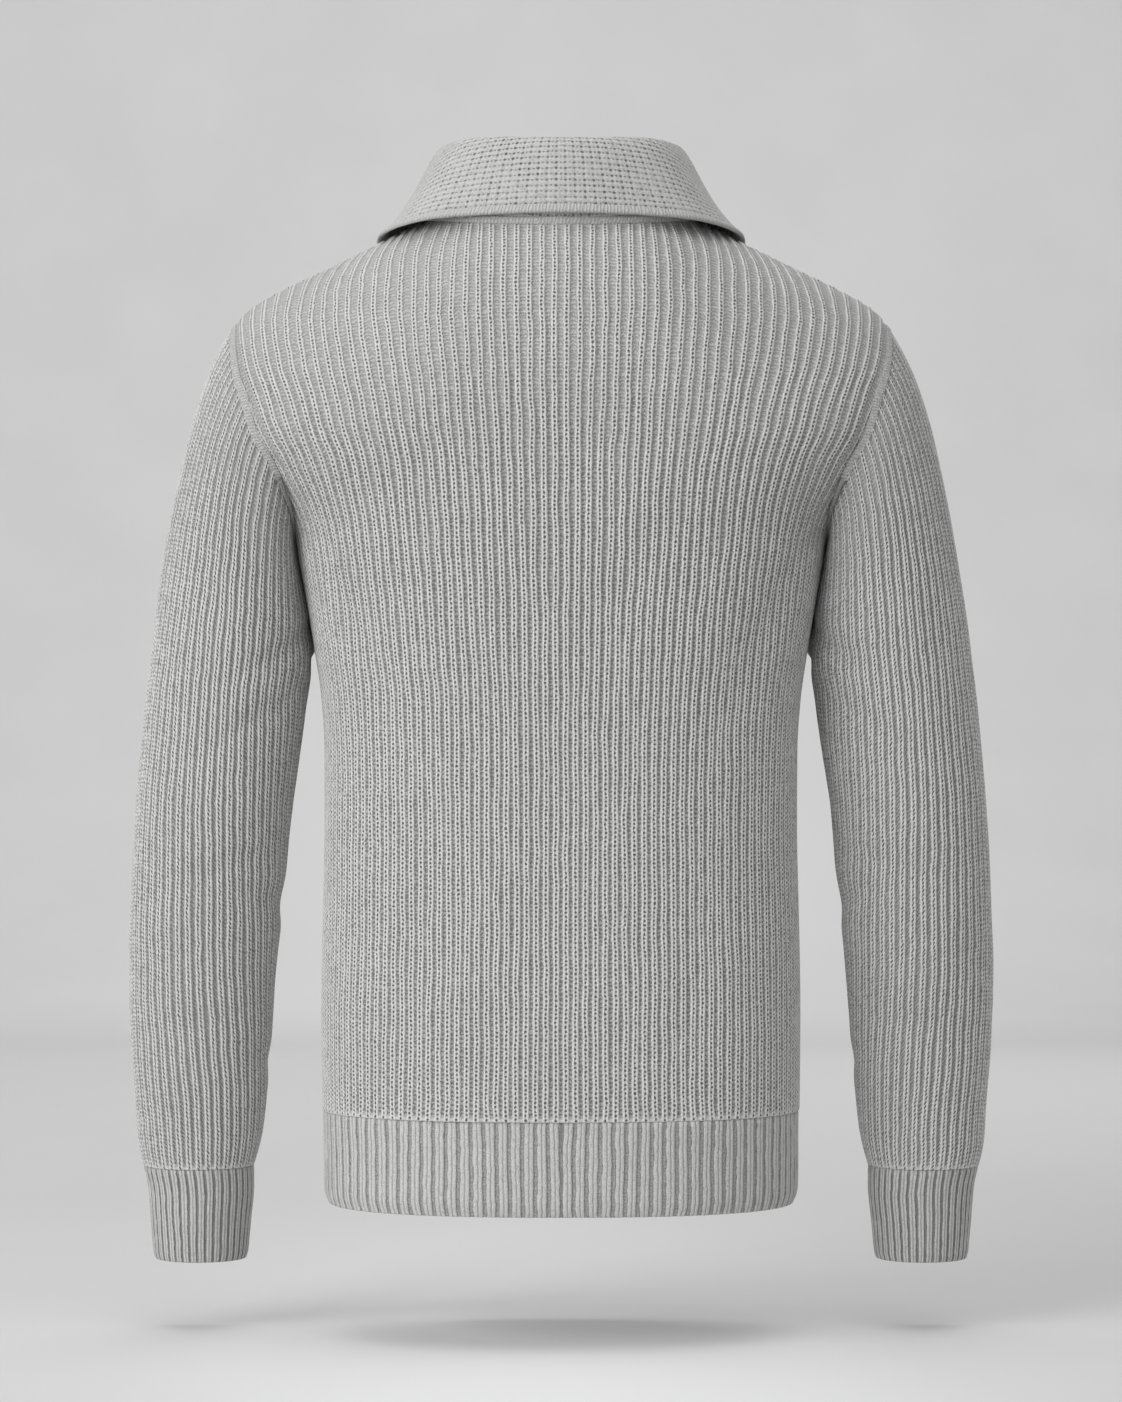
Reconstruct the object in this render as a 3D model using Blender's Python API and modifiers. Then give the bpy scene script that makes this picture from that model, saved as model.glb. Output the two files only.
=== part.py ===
"""Quarter-zip sweater in ribbed knit, filled out as when worn and hollow inside.

The front faces -Y, the wearer's left is +X and +Z is up. The origin is the middle of the neck, level
with the top of the shoulders. Tables and sizes are in millimetres; the meshes are made in metres.
"""

import math

import bmesh
import bpy
import numpy as np

MM = 0.001

# Walls and gaps
WALL = 3.0
SEAM_GAP = 0.3
STEP = 1e-5  # share of a panel's side over which a slope is taken
COLLAR_STEP = 0.001  # the same on the collar
TUBE_STEP = 0.5  # height over which a sleeve's direction is taken
SAME_PLACE = 0.01  # distance within which two points count as one
SECTION_SAMPLES = 400
EDGE_SAMPLES = 1001
SHARP_ANGLE = math.radians(50)

# The body: half width, and depth behind and before the side seams, at each height
BODY_SHAPE = 2.4  # exponent of the body's rounded sections
BODY = (
    # height, half width, back depth, front depth
    (-680.0, 162.0, 110.0, 104.0),
    (-617.0, 162.0, 110.0, 104.0),
    (-544.0, 162.5, 109.0, 103.0),
    (-476.0, 161.2, 108.0, 102.0),
    (-428.0, 160.5, 108.0, 102.0),
    (-374.0, 160.5, 110.0, 104.0),
    (-340.0, 162.5, 112.0, 106.0),
    (-306.0, 167.3, 114.5, 108.5),
    (-272.0, 172.7, 116.5, 110.5),
    (-245.0, 177.5, 118.0, 112.0),
    (-228.0, 180.5, 118.5, 112.5),
    (-213.5, 187.0, 119.0, 113.0),
    (-197.0, 201.0, 119.0, 113.0),
    (-183.0, 214.5, 119.0, 113.0),
    (-163.5, 234.0, 119.0, 113.0),
    (-141.0, 246.0, 118.5, 112.5),
    (-118.0, 250.7, 118.0, 112.0),
    (-85.0, 251.0, 118.0, 112.0),
)
ARMHOLE = (
    # height, distance from the centre plane
    (-228.0, 180.5),
    (-213.5, 180.6),
    (-197.0, 185.0),
    (-183.0, 190.8),
    (-163.5, 201.6),
    (-141.0, 209.0),
    (-118.0, 216.5),
    (-100.0, 219.6),
    (-85.0, 221.0),
)
SHOULDER_LINE = (
    # distance from the centre plane, height
    (0.0, 10.0),
    (50.0, 4.0),
    (92.0, -14.0),
    (125.0, -30.5),
    (160.0, -47.5),
    (190.0, -62.0),
    (213.0, -75.5),
    (221.0, -85.0),
)
PANEL_BOTTOM = -617.0
UNDERARM = -228.0
SHOULDER_TIP = -85.0
BACK_ROUNDING = 150.0  # height over which the back curves in to the shoulder line
FRONT_ROUNDING = 190.0

# Neckline
NECK_HALF_WIDTH = 92.0
NECK_SIDE_HEIGHT = -14.0
BACK_NECK_DROP = 10.0
FRONT_NECK_DROP = 64.0

# The zip's slit at the centre front, open above the slider
SLIT = (
    # height, half width of the gap between the cloth edges
    (-300.0, 5.0),
    (-152.0, 5.0),
    (-138.0, 7.5),
    (-116.0, 13.5),
    (-97.0, 19.0),
    (-78.0, 24.0),
)
SLIT_TOP_HALF_WIDTH = 24.0
TAPE_REACH = 4.6  # of the tape beyond the cloth's edge
TAPE_WALL = 1.0
TAPE_GAP = 0.45

# Rows of the panels, as heights on the side seam and then on the armhole
ROWS = (-617, -560, -500, -440, -390, -345, -305, -270, -245, -228, -219, -207,
        -190, -168, -145, -122, -104, -92, -87, -85)
UNDERARM_ROW = 9  # which is also the bottom of the slit

# Columns of the panels across the neckline, as angles round it, and along the shoulder
BACK_NECK_ANGLES = (0, 15, 30, 45, 60, 75, 90)
FRONT_NECK_ANGLES = (0, 7.6, 22, 36, 50, 63, 76, 90)
SHOULDER_COLUMNS = (120.0, 150.0, 185.0, 221.0)

# Hem and cuffs
HEM = (
    # height, half width, back depth, front depth
    (-617.3, 161.4, 109.6, 103.6),
    (-640.0, 160.9, 109.2, 103.2),
    (-665.0, 160.6, 109.0, 103.0),
    (-680.0, 160.2, 108.6, 102.6),
)
HEM_COLUMNS = 44

# Sleeves below the underarm: the inner and outer edges seen from behind, and the depth
SLEEVE = (
    # height, inner edge, outer edge, middle of the depth, half depth
    (-333.0, 172.0, 281.5, -4.0, 57.0),
    (-374.0, 177.8, 286.0, -6.0, 56.0),
    (-415.0, 183.6, 289.7, -8.0, 55.0),
    (-469.0, 188.4, 293.0, -11.0, 52.5),
    (-524.0, 194.5, 295.0, -14.0, 50.0),
    (-578.0, 198.6, 293.8, -18.0, 47.5),
    (-618.0, 202.5, 291.0, -21.0, 45.0),
    (-640.0, 205.2, 288.2, -23.0, 42.5),
    (-653.7, 208.6, 284.6, -24.0, 38.5),
)
HEAD_GAP = 0.4  # between the armhole's edge and the sleeve's
SLEEVE_HEAD_ROWS = (0.0, 0.07, 0.17, 0.3, 0.46, 0.64, 0.82)
SLEEVE_ROWS = (-333, -385, -440, -495, -550, -600, -632, -645, -653.7)
SLEEVE_HEAD = (
    # share of the way from shoulder tip to underarm, direction the cloth leaves the seam in (out, back,
    # down), length of its first run, length of its last run
    (0.0, 0.60, 0.00, 0.80, 180.0, 260.0),
    (0.25, 0.55, 0.20, 0.81, 150.0, 215.0),
    (0.5, 0.42, 0.12, 0.90, 130.0, 170.0),
    (0.75, 0.22, 0.10, 0.96, 105.0, 140.0),
    (1.0, 0.00, 0.00, 1.00, 95.0, 105.0),
)
CUFF = (
    # height, inner edge, outer edge, middle of the depth, half depth
    (-654.0, 209.4, 284.0, -24.0, 37.6),
    (-672.0, 210.3, 282.4, -25.0, 36.4),
    (-697.0, 212.2, 280.2, -26.0, 34.2),
    (-720.0, 213.6, 277.8, -27.0, 32.2),
)
CUFF_COLUMNS = 24

# Collar, from the centre back (0) to the front edge (1): its fold line and its turned-down edge
COLLAR = (
    # share round, fold (across, back, up), edge (across, back, up), roundness of the leaf
    (0.0, 0.0, 62.0, 35.0, 0.0, 87.0, -18.0, 3.0),
    (0.25, 56.0, 46.0, 36.5, 86.0, 71.0, -19.5, 1.0),
    (0.5, 79.0, 4.0, 37.0, 125.0, 4.0, -25.8, -8.0),
    (0.57, 81.0, -13.0, 30.0, 126.5, -20.0, -28.0, -6.0),
    (0.65, 79.0, -34.0, 17.0, 124.0, -48.0, -41.0, -2.0),
    (0.8, 65.0, -66.0, -13.0, 108.0, -84.0, -73.0, 3.0),
    (1.0, 34.0, -90.0, -42.0, 76.0, -104.0, -105.0, 4.0),
)
COLLAR_STAND_ROWS = (0.0, 0.25, 0.5, 0.7, 0.84, 0.93, 1.0)
COLLAR_LEAF_ROWS = (0.07, 0.16, 0.3, 0.5, 0.72, 0.88, 1.0)
COLLAR_LIFT = 0.6  # of the collar's foot above the neckline
STAND_RISE = 0.5  # share of the stand's height that rises straight from the neckline
FOLD_REACH = 10.0  # of the fold's curve on the stand's side
LEAF_REACH = 11.0  # of the fold's curve on the leaf's side
LEAF_HANG = 0.35  # share of the leaf that hangs straight to its edge

# Zip hardware
SLIDER_HEIGHT = -156.0
SLIDER_LENGTH = 9.0
SLIDER_WIDTH = 8.0
SLIDER_LEAN = math.radians(-5.4)
PLATE = 1.2
PLATE_DEPTH = 0.4  # of the front plate's middle behind the cloth's surface
PLATE_SPACING = 5.0  # between the two plates' middles
POST_WIDTH = 1.8
BRIDGE_WIDTH = 1.6
BRIDGE_SPAN = 6.4
BRIDGE_RISE = 3.3
BRIDGE_THICKNESS = 1.0
PIVOT_RISE = 1.4  # of the tab's bar above the front plate
TAB_LENGTH = 24.0
TAB_WIDTH = 6.4
TAB_THICKNESS = 1.2
TAB_WINDOW_WIDTH = 3.2
TAB_WINDOW_LENGTH = 4.4
STOP_SIZE = (5.4, 1.6, 3.0)
TOP_STOP_SIZE = (3.0, 1.6, 2.6)
SLIDER_EDGE = 0.4  # widths of the rounded edges
STOP_EDGE = 0.3
POST_INSET = 0.3
ROUND_STEPS = 2

# Looks
WOOL_GREY = (0.40, 0.40, 0.39, 1.0)
RIB_GREY = (0.38, 0.38, 0.37, 1.0)
TAPE_GREY = (0.30, 0.30, 0.30, 1.0)
METAL_GREY = (0.55, 0.55, 0.56, 1.0)


def smooth(table, column, at):
    """A column of a table at any value of its first column, as a curve that doesn't overshoot its rows."""
    rows = np.array(table, float)
    x = rows[:, 0]
    y = rows[:, column]
    at = np.clip(np.asarray(at, float), x[0], x[-1])
    width = np.diff(x)
    slope = np.diff(y) / width
    tangent = np.concatenate([[slope[0]], np.zeros(len(x) - 2), [slope[-1]]])
    same_way = slope[:-1] * slope[1:] > 0
    both = slope[:-1] + slope[1:]
    tangent[1:-1][same_way] = (2 * slope[:-1] * slope[1:] / np.where(both == 0, 1, both))[same_way]
    span = np.clip(np.searchsorted(x, at) - 1, 0, len(x) - 2)
    part = (at - x[span]) / width[span]
    start = (1 + 2 * part) * (1 - part) ** 2 * y[span] + part**2 * (3 - 2 * part) * y[span + 1]
    bend = part * (1 - part) ** 2 * tangent[span] - part**2 * (1 - part) * tangent[span + 1]
    return start + bend * width[span]


def unit(vectors):
    return vectors / np.linalg.norm(vectors, axis=-1, keepdims=True)


def quarter(half_width, depth):
    """Points of a quarter of a body section from its middle to its side, and their distances along it."""
    angle = np.linspace(0, math.pi / 2, SECTION_SAMPLES)
    across = half_width * np.sin(angle) ** (2 / BODY_SHAPE)
    out = depth * np.cos(angle) ** (2 / BODY_SHAPE)
    across[0] = 0.0
    out[-1] = 0.0
    run = np.concatenate([[0], np.cumsum(np.hypot(np.diff(across), np.diff(out)))])
    return across, out, run


def section_place(side, share, height):
    """Across and out of a point at this share of the way from the slit or centre to the panel's edge."""
    level = min(height, SHOULDER_TIP)
    half_width = float(smooth(BODY, 1, level))
    depth = float(smooth(BODY, 2 if side > 0 else 3, level))
    across, out, run = quarter(half_width, depth)
    edge = half_width if height <= UNDERARM else float(smooth(ARMHOLE, 1, level))
    edge_run = np.interp(edge, across, run)
    slit = float(smooth(SLIT, 1, height)) if side < 0 else 0.0
    place = slit + (edge_run - slit) * share
    return np.interp(place, run, across), np.interp(place, run, out)


def panel_top(side, share):
    """Height of a panel's top edge: the shoulder line, or the neckline between the shoulders."""
    across, _ = section_place(side, share, 0.0)
    if across >= NECK_HALF_WIDTH:
        return float(smooth(SHOULDER_LINE, 1, across))
    if side > 0:
        part = max(across, 0.0) / NECK_HALF_WIDTH
        return NECK_SIDE_HEIGHT - BACK_NECK_DROP * math.sqrt(1 - part**2)
    part = max(across - SLIT_TOP_HALF_WIDTH, 0.0) / (NECK_HALF_WIDTH - SLIT_TOP_HALF_WIDTH)
    return NECK_SIDE_HEIGHT - FRONT_NECK_DROP * math.sqrt(max(1 - part**2, 0.0))


def body_point(side, share, height):
    """A point of the body's outer surface. side is 1 at the back and -1 at the front."""
    across, out = section_place(side, share, height)
    rounding = BACK_ROUNDING if side > 0 else FRONT_ROUNDING
    below = (float(smooth(SHOULDER_LINE, 1, across)) - height) / rounding
    below = min(max(below, 0.0), 1.0)
    return np.array([across, side * out * math.sqrt(1 - (1 - below) ** 2), height])


def panel_point(side, share, row):
    """The same at a share of the panel's height, from its bottom (0) to its top edge (1)."""
    top = panel_top(side, max(share, 0.0))
    return body_point(side, share, PANEL_BOTTOM + (top - PANEL_BOTTOM) * row)


def row_shares():
    span = SHOULDER_TIP - PANEL_BOTTOM
    return [(height - PANEL_BOTTOM) / span for height in ROWS]


def panel_normal(side, share, row):
    """The surface's outward normal, level across the side seam and the shoulder seam."""
    low_share, high_share = max(share - STEP, 0.0), min(share + STEP, 1.0)
    low_row, high_row = max(row - STEP, 0.0), min(row + STEP, 1.0)
    along = panel_point(side, high_share, row) - panel_point(side, low_share, row)
    up = panel_point(side, share, high_row) - panel_point(side, share, low_row)
    normal = np.cross(up, along) if side > 0 else np.cross(along, up)
    if share == 0.0 and side > 0:
        normal[0] = 0.0
    below_underarm = row <= row_shares()[UNDERARM_ROW]
    on_shoulder = row == 1.0 and panel_point(side, share, row)[0] >= NECK_HALF_WIDTH - SAME_PLACE
    if (share == 1.0 and below_underarm) or on_shoulder:
        normal[1] = 0.0
    return unit(normal)


def column_shares(side):
    """Shares across a panel at which its columns stand, from the places where they meet the top edge."""
    if side > 0:
        places = [NECK_HALF_WIDTH * math.sin(math.radians(angle)) for angle in BACK_NECK_ANGLES]
    else:
        reach = NECK_HALF_WIDTH - SLIT_TOP_HALF_WIDTH
        places = [SLIT_TOP_HALF_WIDTH + reach * math.sin(math.radians(a)) for a in FRONT_NECK_ANGLES]
    places += SHOULDER_COLUMNS
    shares = np.linspace(0, 1, EDGE_SAMPLES)
    across = [section_place(side, share, 0.0)[0] for share in shares]
    found = np.interp(places, across, shares)
    found[0], found[-1] = 0.0, 1.0
    return found


def mesh_object(name, vertices, faces, material):
    mesh = bpy.data.meshes.new(name)
    mesh.from_pydata([tuple(v) for v in np.asarray(vertices) * MM], [], faces)
    shape = bmesh.new()
    shape.from_mesh(mesh)
    bmesh.ops.recalc_face_normals(shape, faces=shape.faces)
    shape.to_mesh(mesh)
    shape.free()
    mesh.materials.append(material)
    mesh.shade_smooth()
    mesh.set_sharp_from_angle(angle=SHARP_ANGLE)
    made = bpy.data.objects.new(name, mesh)
    PARTS.objects.link(made)
    made.parent = SWEATER
    return made


def cloth(name, outer, inner, material, wrap=False, left_out=()):
    """A closed wall between two grids of points, with rims along its open edges.

    wrap joins the last column to the first; left_out are the cells (row, column) of an opening.
    """
    rows, columns = outer.shape[:2]
    count = rows * columns
    faces = []
    for row in range(rows - 1):
        for column in range(columns if wrap else columns - 1):
            if (row, column) in left_out:
                continue
            beside = (column + 1) % columns
            corners = ((row, column), (row, beside), (row + 1, beside), (row + 1, column))
            faces.append(tuple(r * columns + c for r, c in corners))
    sides = {(face[i], face[(i + 1) % 4]) for face in faces for i in range(4)}
    rims = [(b, a, a + count, b + count) for a, b in sorted(sides) if (b, a) not in sides]
    backs = [tuple(corner + count for corner in reversed(face)) for face in faces]
    vertices = np.concatenate([outer.reshape(-1, 3), inner.reshape(-1, 3)])
    used = sorted({corner for face in faces for corner in face})
    used += [corner + count for corner in used]
    place = {corner: i for i, corner in enumerate(used)}
    faces = [tuple(place[corner] for corner in face) for face in faces + backs + rims]
    return mesh_object(name, vertices[used], faces, material)


def seam_directions(side):
    """How the cloth leaves each armhole point into the sleeve, and the rim normals of both pieces there."""
    rows = [row for row in row_shares() if row >= row_shares()[UNDERARM_ROW]]
    points = np.array([panel_point(side, 1.0, row) for row in rows])[::-1]
    run = np.concatenate([[0], np.cumsum(np.linalg.norm(np.diff(points, axis=0), axis=1))])
    shares = run / run[-1]
    normals = np.array([panel_normal(side, 1.0, row) for row in rows])[::-1]
    normals[-1] = (1.0, 0.0, 0.0)
    leaving = np.stack([smooth(SLEEVE_HEAD, 1, shares), side * smooth(SLEEVE_HEAD, 2, shares),
                        -smooth(SLEEVE_HEAD, 3, shares)], axis=1)
    return points, shares, normals, unit(leaving)


def sleeve_rim_normals(side):
    points, _, normals, leaving = seam_directions(side)
    along = np.gradient(points, axis=0)
    along[0] = (0.0, side, 0.0)
    along[-1] = (0.0, -side, 0.0)
    return unit(side * np.cross(leaving, along))


def rim_normals(side):
    """The normals that both pieces share where the seam is convex, so that their rims meet as a mitre."""
    _, _, panel_side, leaving = seam_directions(side)
    sleeve_side = sleeve_rim_normals(side)
    convex = (leaving * panel_side).sum(axis=1) < 0
    shared = unit(panel_side + np.where(convex[:, None], sleeve_side, panel_side))
    sleeve_side[convex] = shared[convex]
    return shared, sleeve_side


def panel_grid(side):
    """Outer points and normals of half a panel, from its middle to its side."""
    rows = row_shares()
    shares = column_shares(side)
    points = np.array([[panel_point(side, share, row) for share in shares] for row in rows])
    normals = np.array([[panel_normal(side, share, row) for share in shares] for row in rows])
    rims, _ = rim_normals(side)
    normals[UNDERARM_ROW + 1:, -1] = rims[::-1][1:]
    return points, normals


def seam_shift(points, side):
    """Moves a panel's edges back from the seams by half their gap."""
    moved = points.copy()
    half_gap = SEAM_GAP / 2
    moved[:UNDERARM_ROW + 1, -1, 1] += side * half_gap
    on_shoulder = points[-1, :, 0] >= NECK_HALF_WIDTH - SAME_PLACE
    moved[-1, on_shoulder, 1] += side * half_gap
    return moved


def mirrored(points):
    return points * np.array([-1.0, 1.0, 1.0])


def make_back(material):
    points, normals = panel_grid(1)
    points = seam_shift(points, 1)
    inner = seam_shift(points - WALL * normals, 1)
    full = [np.concatenate([mirrored(grid[:, :0:-1]), grid], axis=1) for grid in (points, inner)]
    cloth("back_panel", full[0], full[1], material)


def make_front(material):
    points, normals = panel_grid(-1)
    points = seam_shift(points, -1)
    inner = seam_shift(points - WALL * normals, -1)
    full = [np.concatenate([mirrored(grid[:, ::-1]), grid], axis=1) for grid in (points, inner)]
    middle = points.shape[1] - 1
    slit = {(row, middle) for row in range(UNDERARM_ROW, len(ROWS) - 1)}
    cloth("front_panel", full[0], full[1], material, left_out=slit)


def make_hem(material):
    rings = []
    for height, half_width, back, front in HEM:
        ring = []
        for column in range(HEM_COLUMNS):
            turn = 4 * column / HEM_COLUMNS
            depth = back if turn < 1 or turn >= 3 else front
            across, out, run = quarter(half_width, depth)
            part = turn % 1 if int(turn) in (0, 2) else 1 - turn % 1
            x = np.interp(part * run[-1], run, across) * (1 if turn < 2 else -1)
            y = np.interp(part * run[-1], run, out) * (1 if turn < 1 or turn > 3 else -1)
            ring.append((x, y, height))
        rings.append(ring)
    outer = np.array(rings)
    inner = outer - WALL * ring_normals(outer, np.zeros_like(outer) + (0, 0, -1.0))
    cloth("hem_band", outer, inner, material, wrap=True)


def ring_normals(rings, along):
    """Outward normals of closed rings, where along is the way that the tube runs at each point."""
    around = np.roll(rings, -1, axis=1) - np.roll(rings, 1, axis=1)
    normals = unit(np.cross(along, around))
    outwards = rings[-1] - rings[-1].mean(axis=0)
    return normals * np.sign((normals[-1] * outwards).sum())


def tube_point(table, height, turn):
    inner = smooth(table, 1, height)
    outer = smooth(table, 2, height)
    x = (inner + outer) / 2 + (outer - inner) / 2 * math.cos(turn)
    return np.array([x, smooth(table, 3, height) + smooth(table, 4, height) * math.sin(turn), height])


def tube_rows(table, heights, turns):
    """Rings of a tube whose table runs downwards, with the direction in which it runs at each point."""
    upwards = sorted(table)
    rings = np.array([[tube_point(upwards, h, turn) for turn in turns] for h in heights])
    above = np.array([[tube_point(upwards, h + TUBE_STEP, turn) for turn in turns] for h in heights])
    below = np.array([[tube_point(upwards, h - TUBE_STEP, turn) for turn in turns] for h in heights])
    return rings, unit(below - above)


def sleeve_columns():
    """Each column's armhole point, share, rim normal, first direction and angle round the sleeve."""
    columns = []
    for side in (1, -1):
        points, shares, normals, leaving = seam_directions(side)
        _, sleeve_side = rim_normals(side)
        for i, share in enumerate(shares):
            at_end = i in (0, len(shares) - 1)
            if side < 0 and at_end:
                continue
            direction = leaving[i] * (1, 0 if at_end else 1, 1)
            columns.append((side * share, points[i], normals[i], sleeve_side[i], unit(direction)))
    return sorted(columns, key=lambda column: -column[0])


def make_sleeve(name, mirror, material):
    columns = sleeve_columns()
    turns = [math.pi * column[0] for column in columns]
    lower, lower_along = tube_rows(SLEEVE, SLEEVE_ROWS, turns)
    head = np.zeros((len(SLEEVE_HEAD_ROWS), len(columns), 3))
    head_along = np.zeros_like(head)
    for i, (share, start, body_normal, _, leaving) in enumerate(columns):
        first = leaving * smooth(SLEEVE_HEAD, 4, abs(share))
        last = lower_along[0, i] * smooth(SLEEVE_HEAD, 5, abs(share))
        start = start + HEAD_GAP * unit(leaving + body_normal)
        for row, t in enumerate(SLEEVE_HEAD_ROWS):
            head[row, i] = ((1 + 2 * t) * (1 - t) ** 2 * start + t * (1 - t) ** 2 * first
                            + t**2 * (3 - 2 * t) * lower[0, i] - t**2 * (1 - t) * last)
            head_along[row, i] = (6 * t * (t - 1) * start + (1 - t) * (1 - 3 * t) * first
                                  - 6 * t * (t - 1) * lower[0, i] + t * (3 * t - 2) * last)
    outer = np.concatenate([head, lower])
    along = np.concatenate([head_along, lower_along])
    normals = ring_normals(outer, along)
    normals[0] = [column[3] for column in columns]
    inner = outer - WALL * normals
    if mirror:
        outer, inner = mirrored(outer), mirrored(inner)
    cloth(name, outer, inner, material, wrap=True)


def make_cuff(name, mirror, material):
    turns = [-2 * math.pi * column / CUFF_COLUMNS for column in range(CUFF_COLUMNS)]
    outer, along = tube_rows(CUFF, [row[0] for row in CUFF], turns)
    inner = outer - WALL * ring_normals(outer, along)
    if mirror:
        outer, inner = mirrored(outer), mirrored(inner)
    cloth(name, outer, inner, material, wrap=True)


def neck_point(share):
    """The neckline on the body, from the centre back (0) past the shoulder (0.5) to the slit (1)."""
    angle = math.pi * abs(share)
    if angle <= math.pi / 2:
        side, across = 1, NECK_HALF_WIDTH * math.sin(angle)
        height = NECK_SIDE_HEIGHT - BACK_NECK_DROP * math.cos(angle)
    else:
        side = -1
        across = SLIT_TOP_HALF_WIDTH + (NECK_HALF_WIDTH - SLIT_TOP_HALF_WIDTH) * math.sin(angle)
        height = NECK_SIDE_HEIGHT + FRONT_NECK_DROP * math.cos(angle)
    half_width = float(smooth(BODY, 1, SHOULDER_TIP))
    depth = float(smooth(BODY, 2 if side > 0 else 3, SHOULDER_TIP))
    out = depth * (1 - (across / half_width) ** BODY_SHAPE) ** (1 / BODY_SHAPE)
    rounding = BACK_ROUNDING if side > 0 else FRONT_ROUNDING
    below = (float(smooth(SHOULDER_LINE, 1, across)) - height) / rounding
    below = min(max(below, 0.0), 1.0)
    depth_here = side * out * math.sqrt(1 - (1 - below) ** 2)
    return np.array([across * (1 if share >= 0 else -1), depth_here, height])


def collar_table():
    left_over = [(-v, -fx, fy, fz, -ex, ey, ez, r) for v, fx, fy, fz, ex, ey, ez, r in COLLAR[:0:-1]]
    return left_over + list(COLLAR)


def bezier(points, t):
    a, b, c, d = points
    return (1 - t) ** 3 * a + 3 * t * (1 - t) ** 2 * b + 3 * t**2 * (1 - t) * c + t**3 * d


def collar_point(share, row):
    """A point of the collar's neck side: up the stand (row 0 to 1), then down the leaf (1 to 2)."""
    inside = min(max(share, -1.0), 1.0)
    table = collar_table()
    fold = np.array([smooth(table, column, inside) for column in (1, 2, 3)])
    edge = np.array([smooth(table, column, inside) for column in (4, 5, 6)])
    neck = neck_point(inside)
    low, high = max(inside - 2 * COLLAR_STEP, -1.0), min(inside + 2 * COLLAR_STEP, 1.0)
    around = neck_point(high) - neck_point(low)
    inwards = unit(np.array([around[1], -around[0], 0.0]))
    inwards = inwards if np.dot(inwards[:2], neck[:2]) < 0 else -inwards
    foot = neck + WALL * inwards + np.array([0, 0, COLLAR_LIFT])
    out = unit((edge - fold) * (1, 1, 0))
    if row <= 1:
        rise = np.array([0, 0, STAND_RISE * (fold[2] - foot[2])])
        return bezier((foot, foot + rise, fold - FOLD_REACH * out, fold), row)
    hang = edge + LEAF_HANG * (fold - edge) + smooth(table, 7, inside) * out
    return bezier((fold, fold + LEAF_REACH * out, hang, edge), row - 1)


def collar_normal(share, row):
    """The normal of the collar's neck side, away from its wall."""
    low, high = max(share - COLLAR_STEP, -1.0), min(share + COLLAR_STEP, 1.0)
    below, above = max(row - COLLAR_STEP, 0.0), min(row + COLLAR_STEP, 2.0)
    around = collar_point(high, row) - collar_point(low, row)
    up = collar_point(share, above) - collar_point(share, below)
    return unit(np.cross(around, up))


def collar_rows():
    return list(COLLAR_STAND_ROWS) + [1 + row for row in COLLAR_LEAF_ROWS]


def make_collar(material):
    half = [angle / 180 for angle in BACK_NECK_ANGLES[1:]]
    half += [1 - angle / 180 for angle in FRONT_NECK_ANGLES[-2::-1]]
    shares = [-share for share in reversed(half)] + [0.0] + half
    neck_side = np.array([[collar_point(share, row) for share in shares] for row in collar_rows()])
    normals = np.array([[collar_normal(share, row) for share in shares] for row in collar_rows()])
    cloth("collar", neck_side, neck_side - WALL * normals, material)


def tape_rows():
    """Points and normals across a zip tape, along the slit and then up the collar's front edge."""
    surface = []
    outward = []
    share = float(column_shares(-1)[1])
    for row in row_shares()[UNDERARM_ROW:]:
        edge = panel_point(-1, 0.0, row)
        far = panel_point(-1, share, row)
        reach = edge + TAPE_REACH * unit(edge - far)
        normals = [panel_normal(-1, 0.0, row)] * 2 + [panel_normal(-1, share, row)]
        surface.append([p - (WALL + TAPE_GAP) * n for p, n in zip((reach, edge, far), normals)])
        outward.append(normals)
    collar_share = 1 - FRONT_NECK_ANGLES[1] / 180
    for row in collar_rows()[1:]:
        edge = collar_point(1.0, row)
        far = collar_point(collar_share, row)
        reach = edge + TAPE_REACH * unit(edge - far)
        normals = [collar_normal(1.0, row)] * 2 + [collar_normal(collar_share, row)]
        surface.append([p + (TAPE_GAP + TAPE_WALL) * n for p, n in zip((reach, edge, far), normals)])
        outward.append(normals)
    turned = len(row_shares()[UNDERARM_ROW:])
    surface, outward = np.array(surface), np.array(outward)
    outward[turned:] *= -1
    return surface, outward, turned


def make_tape(name, mirror, material):
    """The tape's face towards the cloth lies a small gap behind it, and its wall is on the wearer's side."""
    surface, outward, turned = tape_rows()
    other = surface - TAPE_WALL * outward
    faces = surface.copy()
    faces[turned:] = surface[turned:] + TAPE_WALL * outward[turned:]
    other[turned:] = surface[turned:]
    outer, inner = faces, other
    if mirror:
        outer, inner = mirrored(outer), mirrored(inner)
    cloth(name, outer, inner, material)


def box(name, size, place, turn, material):
    """A bevelled block of a size, at a place, turned about X."""
    shape = bmesh.new()
    bmesh.ops.create_cube(shape, size=1.0)
    bmesh.ops.scale(shape, vec=[side * MM for side in size], verts=shape.verts)
    mesh = bpy.data.meshes.new(name)
    shape.to_mesh(mesh)
    shape.free()
    mesh.materials.append(material)
    made = bpy.data.objects.new(name, mesh)
    PARTS.objects.link(made)
    made.location = [value * MM for value in place]
    made.rotation_euler = (turn, 0.0, 0.0)
    return made


def bevel(made, width):
    rounded = made.modifiers.new("edges", "BEVEL")
    rounded.width = width * MM
    rounded.segments = ROUND_STEPS


def join(target, other):
    """Adds another object's shape to the target with a Boolean, as a helper that isn't drawn."""
    union = target.modifiers.new("with " + other.name, "BOOLEAN")
    union.operation = "UNION"
    union.solver = "EXACT"
    union.object = other
    other.hide_render = True
    other.display_type = "WIRE"
    PARTS.objects.unlink(other)
    HELPERS.objects.link(other)
    other.parent = target


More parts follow.
